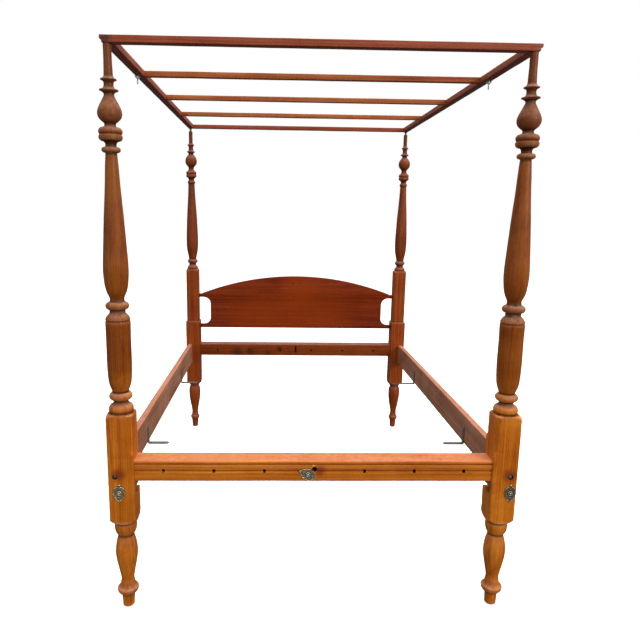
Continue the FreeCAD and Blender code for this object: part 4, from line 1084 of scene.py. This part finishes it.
def bolt_cover(name, pivot, turn):
    """An embossed cover: rings spread from round at its boss to its scalloped edge."""
    half = outline(*COVER_EDGE, 9)
    edge = half + [(-x, z) for x, z in reversed(half[1:-1])]
    levels = 46
    spin = Matrix.Rotation(math.radians(-turn), 3, "Y")

    def spot(x, y, z):
        return Vector(pivot) + spin @ (Vector((x, y, z)) * MM)

    rings = []
    heights = np.zeros((levels, len(edge)))
    for level in range(levels):
        share = (level + 0.35) / (levels - 1 + 0.35)
        ring = []
        for k, (ex, ez) in enumerate(edge):
            angle = math.atan2(ez - COVER_MIDDLE, ex)
            full = math.hypot(ex, ez - COVER_MIDDLE)
            reach = share * (COVER_ROUND + (full - COVER_ROUND) * step(share, 0.25, 1.0))
            heights[level, k] = cover_height(reach, share, angle)
            ring.append(spot(math.cos(angle) * reach, -heights[level, k],
                             COVER_MIDDLE + math.sin(angle) * reach))
        rings.append(ring)
    rings.append([spot(ex, 0, ez) for ex, ez in edge])
    wear_and_sheen, grime_and_shade = [], []
    for level in range(levels):
        near = heights[max(0, level - 4):level + 5].mean(axis=0)
        rise = heights[level] - near
        wear_and_sheen += list(np.clip(rise * 2.2, 0, 1))
        grime_and_shade += list(np.clip(-rise * 2.4 + 0.1, 0, 1))
    cover = loft(name + "_cast", rings, DULL_BRASS if name.endswith("right") else BRASS)
    tidy_normals(cover, 60)
    paint(cover, "wear_and_sheen", wear_and_sheen + [0] * len(edge))
    paint(cover, "grime_and_shade", grime_and_shade + [0.5] * len(edge))
    stand_for(cover, name, name)


def bolt_covers():
    """The three covers, each about its own joint, and the domed pins that they hang on."""
    dome = [(0.0005, 0.0021), (0.0014, 0.0019), (0.0027, 0.0013), (0.0035, 0.0003), (0.0033, 0.0),
            (0.0015, 0.0), (0.0015, -0.0125), (0.0004, -0.0135)]
    pins = []
    for joint in frame["joints"]:
        name = joint["child"]
        if name.startswith("bolt_cover"):
            x, y, z = joint["pos_m"]
            central = name.endswith("centre")
            face = rail_face if central else post_face
            bolt_cover(name, (x, face - 0.0003, z), -115 if central else 0)
            pins.append(lathe("pin", dome[::-1], (x, face - 0.0026, z), "-Y", 24, BRASS, 50))
    stand_together("cover_pins_domed", pins, "bedstead", "cover_pins")


# ---------------------------------------------------------------- tester

T_LOW, T_HIGH = (corner.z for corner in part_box("tester_front_rail"))
T_HALF = (T_LOW + T_HIGH) / 2
T_SIDE = 0.732                       # line of the tester's side rails
T_W = 0.018                          # half width of the tester's rails
T_INNER = T_SIDE - T_W
PIN_HOLE = 0.0055
SLATS = ("foot", "middle", "head")


def splice_place(side):
    """Place of the splice bolt in plan."""
    name = "splice_bolt_" + SIDES[side]
    return middle_of(name, "x"), middle_of(name, "y")


def tester_end(name, line, seed):
    """A front or rear rail of the tester, its ends halved over the side rails."""
    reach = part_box(name)[1].x
    solids = [block((-T_INNER, T_INNER), (line - T_W, line + T_W), (T_LOW, T_HIGH)),
              block((-reach, reach), (line - T_W, line + T_W), (T_HALF, T_HIGH))]
    cuts = [rod(PIN_HOLE, (side * post_x, line, T_LOW), (0, 0, 0.04), 20) for side in SIDES]
    rail = timber(name + "_halved", solids, cuts, TESTER_WOOD, 0.0016, 0, 0.0006, seed)
    stand_for(rail, "tester", name)


def tester_side(side, end, seed):
    """One length of a side rail of the tester, halved at its end and lapped at the splice."""
    name = "tester_side_%s_%s" % (SIDES[side], end)
    inner, outer = side * T_INNER, side * (T_SIDE + T_W)
    line = foot_line if end == "foot" else head_line
    solids = []
    for bottom, top, lap, back in ((T_LOW, T_HALF, 0, -T_W), (T_HALF, T_HIGH, 0.100, T_W)):
        shoulder = [(outer, foot_line + 0.535 - lap), (inner, foot_line + 0.414 - lap)]
        stop = line + (back if end == "foot" else -back)
        solids.append(prism("layer", [(inner, stop), (outer, stop)] + shoulder, bottom, top))
    x, y = splice_place(side)
    through = (0, 0, 0.06)
    cuts = [rod(PIN_HOLE, (side * post_x, line, T_LOW - 0.01), through, 20),
            rod(0.0031, (x, y, T_LOW - 0.01), through, 16)]
    if end == "head":
        cuts.append(rod(0.0071, (x, y, T_HIGH - 0.004), (0, 0, 0.02), 24))
        for slat in SLATS:
            low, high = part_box("tester_slat_" + slat)
            cuts.append(block((inner - side * 0.01, outer + side * 0.01), (low.y, high.y),
                              (T_HALF, T_HIGH + 0.01)))
    rail = timber(name + "_spliced", solids, cuts, TESTER_SIDE_WOOD, 0.0014, 1, 0.0005, seed)
    stand_for(rail, "tester", name)


def tester_slat(name, seed):
    """A cross slat, its ends halved into the side rails."""
    low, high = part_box("tester_slat_" + name)
    solids = [block((-T_INNER, T_INNER), (low.y, high.y), (low.z, high.z)),
              block((low.x, high.x), (low.y, high.y), (T_HALF, high.z))]
    slat = timber("tester_slat_%s_sawn" % name, solids, [], SLAT_WOOD, 0.0016, 0, 0.0006, seed)
    stand_for(slat, "tester", "tester_slat_" + name)


def wing(x, y, base, turn, way):
    """One upswept, rounded wing, on the way side of the hub."""
    edge = outline((4, 1), [[(9, 3), (13, 8)], [(12.6, 10.7), (10, 11)], [(7, 8), (4, 7.5)]], 7)
    middle_x, middle_z = 8.5, 6
    rings = []
    for depth, inset in ((-1.4, 0.6), (-0.9, 0), (0.9, 0), (1.4, 0.6)):
        ring = []
        for px, pz in edge:
            pull = 1 - inset / max(math.hypot(px - middle_x, pz - middle_z), 1)
            across = middle_x + (px - middle_x) * pull
            up = middle_z + (pz - middle_z) * pull
            ring.append(Vector((x, y, base)) + turn @ (Vector((way * across, depth, up)) * MM))
        rings.append(ring)
    return loft("wing", rings, ZINC, 40)


def wing_nut(side):
    """A turned hub with two wings, and the threaded bolt and washer that go with it."""
    name = SIDES[side]
    x, y = splice_place(side)
    base = T_LOW - 0.013
    turn = Matrix.Rotation(math.radians(90 + 40 * side), 3, "Z")
    hub = lathe("hub", [(0.0031, 0), (0.0046, 0), (0.0052, 0.0008), (0.006, 0.009), (0.0054, 0.0108),
                        (0.005, 0.0112), (0.0031, 0.0112)], (x, y, base), "Z", 28, ZINC, 40)
    nut = merged("wing_nut_%s_cast" % name, [hub] + [wing(x, y, base, turn, way) for way in (-1, 1)])
    tidy_normals(nut, 38)
    stand_for(nut, "wing_nut_" + name, "wing_nut_" + name)

    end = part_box("splice_bolt_" + name)[0].z
    profile = [(0.0006, 0), (0.0024, 0.0004), (0.003, 0.0012)]
    z = 0.0012
    while end + z < base - 0.0015:
        profile += [(0.003, z), (0.0026, z + 0.00045), (0.003, z + 0.0009)]
        z += 0.0011
    top = T_HIGH - 0.001 - end
    profile += [(0.003, z), (0.003, top - 0.003), (0.007, top - 0.003), (0.0068, top - 0.0018),
                (0.005, top - 0.0004), (0.0006, top)]
    bolt = lathe("splice_bolt_%s_threaded" % name, profile, (x, y, end), "Z", 24, ZINC, 30)
    stand_for(bolt, "tester", "splice_bolt_" + name)
    washer = lathe("splice_washer_%s_pressed" % name,
                   [(0.0033, 0.0), (0.0077, 0.0), (0.008, 0.0003), (0.008, 0.0012), (0.0077, 0.0015),
                    (0.0033, 0.0015)], (x, y, T_LOW - 0.0015), "Z", 32, ZINC, 40)
    stand_for(washer, "tester", "splice_washer_" + name)


def nails_and_pins():
    """Nail heads just under the surface, and the iron pins between the posts and the tester."""
    depth = T_HIGH - 0.0004
    stem = [(0.0004, -0.022), (0.0015, -0.020), (0.0015, -0.0008), (0.0019, -0.0004), (0.0019, 0),
            (0.0004, 0.0002)]

    def nail(x, y):
        return lathe("nail", stem, (x, y, depth), "Z", 14, IRON)

    corners = [nail(side * 0.721, y) for side in SIDES for y in (foot_line - 0.009, head_line + 0.009)]
    crossings = [nail(side * T_SIDE, middle_of("tester_slat_" + slat, "y"))
                 for side in SIDES for slat in SLATS]
    stand_together("tester_corner_nails_cut", corners, "tester", "tester_corner_nails")
    stand_together("tester_slat_nails_cut", crossings, "tester", "tester_slat_nails")

    tip = [(0.005, 0.0785), (0.0042, 0.08), (0.0006, 0.0802)]
    plain = [(0.0006, 0), (0.0045, 0.0002), (0.005, 0.001)] + tip
    shouldered = [(0.0006, 0), (0.005, 0.0005), (0.005, 0.038), (0.0068, 0.0382), (0.007, 0.039),
                  (0.0066, 0.0535), (0.0098, 0.0552), (0.01, 0.0585), (0.0097, 0.059), (0.005, 0.059)] + tip
    for name, profile, line, segments in (("foot_tester_pins", plain, foot_line, 20),
                                          ("head_tester_pins", shouldered, head_line, 28)):
        pins = [lathe("pin", profile, (side * post_x, line, 2.06), "Z", segments, IRON) for side in SIDES]
        stand_together(name + "_turned", pins, "bedstead", name)


# ---------------------------------------------------------------- studio

def pale_floor():
    """A wide pale floor that sends no colour back onto the bed."""
    g = Graph(bpy.data.materials.new("floor_pale"))
    colour = g.ramp(g.noise(g.place, 0.7, 3), [(0.3, (0.86, 0.86, 0.86)), (0.7, (0.9, 0.9, 0.9))])
    pale = g.finish("Principled BSDF", {
        "Base Color": colour, "Roughness": 0.85, "Specular IOR Level": 0.1,
        "Emission Color": colour, "Emission Strength": 0.62})
    edge = 90
    floor = new_object("floor", [(-edge, -edge, 0), (edge, -edge, 0), (edge, edge, 0), (-edge, edge, 0)],
                       [(0, 1, 2, 3)], pale)
    floor.visible_diffuse = False
    floor.visible_glossy = False


def soft_sky():
    """A sky brighter overhead that lights the bed, and plain white behind it."""
    g = Graph(bpy.data.worlds.new("soft_light"))
    way = g.add("ShaderNodeTexCoord", "Generated")
    height = g.add("ShaderNodeSeparateXYZ", "Z", {0: way})
    rise = g.add("ShaderNodeMapRange", "Result", {"Value": height, "From Min": -1})
    sky = g.ramp(rise, [(0.3, (0.09, 0.085, 0.08)), (0.95, (0.95, 0.98, 1.0)), (0.52, (0.3, 0.3, 0.3))])
    g.finish("Background", {"Color": sky, "Strength": 1.0})
    lit = g.tree.nodes["Background"].outputs[0]
    seen = g.add("ShaderNodeBackground", 0, {"Color": (1, 1, 1), "Strength": 1.0})
    rays = g.add("ShaderNodeLightPath", "Is Camera Ray")
    both = g.add("ShaderNodeMixShader", 0, {0: rays, 1: lit, 2: seen})
    bpy.context.scene.world = g.finish("World Output", {"Surface": both})


def lamp(name, place, target, size, power, colour):
    """A square soft light aimed at the target."""
    data = bpy.data.lights.new(name, "AREA")
    data.shape = "RECTANGLE"
    data.size = data.size_y = size
    data.energy = power
    data.color = colour
    light = bpy.data.objects.new(name, data)
    light.location = place
    light.rotation_euler = (Vector(target) - Vector(place)).to_track_quat("-Z", "Y").to_euler()
    bpy.context.scene.collection.objects.link(light)


def bedside_camera():
    """The camera stands a little left of the bed's middle, before its foot, and looks slightly down."""
    pitch, yaw, roll = math.radians(10.133), math.radians(1.577), math.radians(-0.7445)
    ahead = Vector((math.sin(yaw) * math.cos(pitch), math.cos(yaw) * math.cos(pitch), -math.sin(pitch)))
    level_right = Vector((math.cos(yaw), -math.sin(yaw), 0))
    level_down = ahead.cross(level_right)
    right = math.cos(roll) * level_right + math.sin(roll) * level_down
    down = -math.sin(roll) * level_right + math.cos(roll) * level_down
    lens = bpy.data.cameras.new("camera")
    lens.lens = 32.66
    lens.sensor_width = 36
    lens.shift_x = 0.0482
    lens.shift_y = -0.0038
    camera = bpy.data.objects.new("camera", lens)
    pose = Matrix((right, -down, -ahead)).transposed().to_4x4()
    pose.translation = (-0.1622, foot_line - 2.120, 1.557)
    camera.matrix_world = pose
    scene = bpy.context.scene
    scene.collection.objects.link(camera)
    scene.camera = camera


def studio():
    """A pale floor, soft overhead and side lights, and the camera at the bed's foot."""
    bpy.context.scene.view_settings.view_transform = "Standard"
    bpy.context.scene.view_settings.look = "None"
    pale_floor()
    soft_sky()
    lamp("overhead", (1.0, 0.5, 7.5), (0, 0, 0), 6.0, 480, (1, 0.98, 0.96))
    lamp("key_right", (6.5, -7.0, 4.6), (0, 0, 0.8), 3.4, 560, (1, 0.98, 0.95))
    lamp("fill_left", (-6.0, -8.4, 2.2), (0, 0, 0.8), 4.5, 170, (1, 0.97, 0.93))
    bedside_camera()


studio()
for side in SIDES:
    foot_post(side)
    head_post(side)
    wing_nut(side)
    for end in ("foot", "head"):
        tester_side(side, end, 11 * side + len(end))
end_rails()
side_rails()
headboard()
hangers()
bed_bolts()
bolt_covers()
tester_end("tester_front_rail", foot_line, 1.0)
tester_end("tester_rear_rail", head_line, 6.0)
for number, name in enumerate(SLATS):
    tester_slat(name, 3.0 + number)
nails_and_pins()
